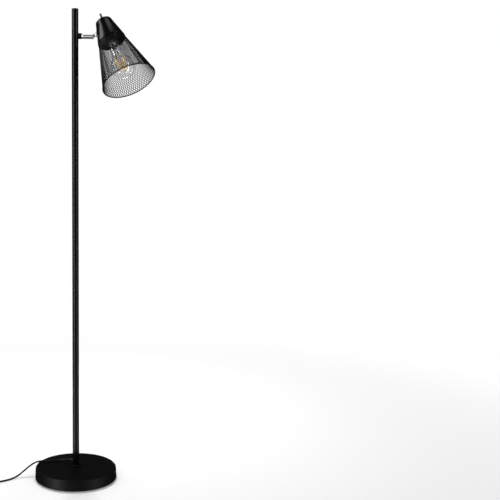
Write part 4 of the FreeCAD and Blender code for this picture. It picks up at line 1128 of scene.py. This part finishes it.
class FLOORLAMP_OT_stage(bpy.types.Operator):
    """Sets the photograph's camera, a plain floor, a white room and soft studio lights"""

    bl_idname = "floor_lamp.stage"
    bl_label = "Stage"

    def execute(self, context):
        scene = context.scene
        settings = scene.lamp_stage
        scene.view_settings.view_transform = "Standard"

        camera_data = bpy.data.cameras.new("camera")
        camera_data.sensor_width = 36.0
        camera_data.lens = camera_data.sensor_width * FOCAL_PIXELS / PICTURE
        camera_data.shift_x = SHIFT_PIXELS / PICTURE
        camera_data.clip_end = 100.0
        camera = bpy.data.objects.new("camera", camera_data)
        scene.collection.objects.link(camera)
        camera.location = CAMERA_PLACE
        turns = (90.0 + CAMERA_PITCH, -CAMERA_YAW, CAMERA_ROLL)
        pitch, yaw, roll = (math.radians(turn) for turn in turns)
        view = Matrix.Rotation(yaw, 3, "Z") @ Matrix.Rotation(pitch, 3, "X") @ Matrix.Rotation(roll, 3, "Z")
        camera.rotation_euler = view.to_euler()
        scene.camera = camera

        floor_mesh = bpy.data.meshes.new("floor")
        corners = [(x * FLOOR_HALF, y * FLOOR_HALF, 0) for x, y in ((-1, -1), (1, -1), (1, 1), (-1, 1))]
        floor_mesh.from_pydata(corners, [], [(0, 1, 2, 3)])
        floor = bpy.data.objects.new("floor", floor_mesh)
        scene.collection.objects.link(floor)
        material, graph = new_material("Pale floor")
        direct = light_rays(graph)[0]
        away = graph.node("ShaderNodeVectorMath", {"operation": "LENGTH"}, {0: object_place(graph)}, "Value")
        pale = graph.node("ShaderNodeBsdfDiffuse", None, {"Color": settings.floor_colour})
        white = graph.node("ShaderNodeEmission", None, {
            "Color": (1, 1, 1, 1),
            "Strength": settings.room + direct * (1.0 - settings.room),
        })
        fade = ramp(graph, away, *FLOOR_FADE)
        end_material(graph, graph.node("ShaderNodeMixShader", None, {0: fade, 1: pale, 2: white}))
        floor.visible_glossy = False
        floor.visible_shadow = False
        floor_mesh.materials.append(material)

        world = bpy.data.worlds.new("room")
        world.use_nodes = True
        world.node_tree.nodes.clear()
        graph = Graph(world.node_tree)
        direct, glossy = light_rays(graph)
        way = parts_of(graph, graph.node("ShaderNodeTexCoord", None, None, "Generated"))
        backdrop = ramp(graph, way[1], 0.5, 0.9) * ramp(graph, way[2], 0.26, 0.12)
        ahead = ramp(graph, way[0], -0.25, -0.15) * ramp(graph, way[0], 0.25, 0.15)
        below = ramp(graph, way[2], -0.10, -0.16) * ramp(graph, way[2], -0.52, -0.46)
        patch = ramp(graph, way[1], 0.0, -0.2) * below
        ceiling = ramp(graph, way[2], 0.42, 0.5) * CEILING_SHARE
        shown = (backdrop * BACKDROP_SHARE + (patch + ceiling) * ahead).clamped(0.0, 1.0)
        mirrored = settings.gleam + shown * (1.0 - settings.gleam)
        strength = settings.room + glossy * (mirrored - settings.room)
        strength = strength + direct * (1.0 - strength)
        shade = graph.node("ShaderNodeBackground", None, {"Color": (1, 1, 1, 1), "Strength": strength})
        graph.node("ShaderNodeOutputWorld", None, {"Surface": shade})
        scene.world = world

        middle = (0.0, 0.0, STRIP_HEIGHT)
        area_light("left_strip", LEFT_STRIP, middle, STRIP_SIZE, settings.left, True)
        area_light("right_strip", RIGHT_STRIP, middle, STRIP_SIZE, settings.right, True)
        area_light("top_panel", TOP_PANEL, TOP_PANEL_AIM, TOP_PANEL_SIZE, settings.above, False)
        area_light("cup_left", CUP_LEFT, head_top, CUP_LEFT_SIZE, settings.cup_left, True)
        area_light("cup_top", CUP_TOP, head_top, CUP_TOP_SIZE, settings.cup_top, True)
        return {"FINISHED"}


class FLOORLAMP_PT_panel(bpy.types.Panel):
    """The lamp's settings and the steps that make it"""

    bl_label = "Floor Lamp"
    bl_idname = "FLOORLAMP_PT_panel"
    bl_space_type = "VIEW_3D"
    bl_region_type = "UI"
    bl_category = "Floor Lamp"

    def draw(self, context):
        layout = self.layout
        for group in SETTINGS:
            box = layout.box()
            settings = getattr(context.scene, group)
            for name in settings.bl_rna.properties.keys():
                if name not in ("rna_type", "name"):
                    box.prop(settings, name)
        for step in STEPS:
            layout.operator(step.bl_idname)


SETTINGS = {
    "lamp_paint": LampPaint,
    "lamp_cage": LampCage,
    "lamp_knob": LampKnob,
    "lamp_stage": LampStage,
}
STEPS = (
    FLOORLAMP_OT_stage,
    FLOORLAMP_OT_cord,
    FLOORLAMP_OT_inner,
    FLOORLAMP_OT_base,
    FLOORLAMP_OT_pole,
    FLOORLAMP_OT_arm,
    FLOORLAMP_OT_swivel,
    FLOORLAMP_OT_cup,
    FLOORLAMP_OT_switch,
    FLOORLAMP_OT_lampholder,
    FLOORLAMP_OT_bulb,
    FLOORLAMP_OT_cage,
)


def register():
    for group in (*SETTINGS.values(), *STEPS, FLOORLAMP_PT_panel):
        bpy.utils.register_class(group)
    for name, group in SETTINGS.items():
        setattr(bpy.types.Scene, name, bpy.props.PointerProperty(type=group))


def unregister():
    for name in SETTINGS:
        delattr(bpy.types.Scene, name)
    for group in reversed((*SETTINGS.values(), *STEPS, FLOORLAMP_PT_panel)):
        bpy.utils.unregister_class(group)


def main():
    """Makes every piece in order."""
    register()
    for step in STEPS:
        family, action = step.bl_idname.split(".")
        getattr(getattr(bpy.ops, family), action)()


if __name__ == "__main__":
    main()
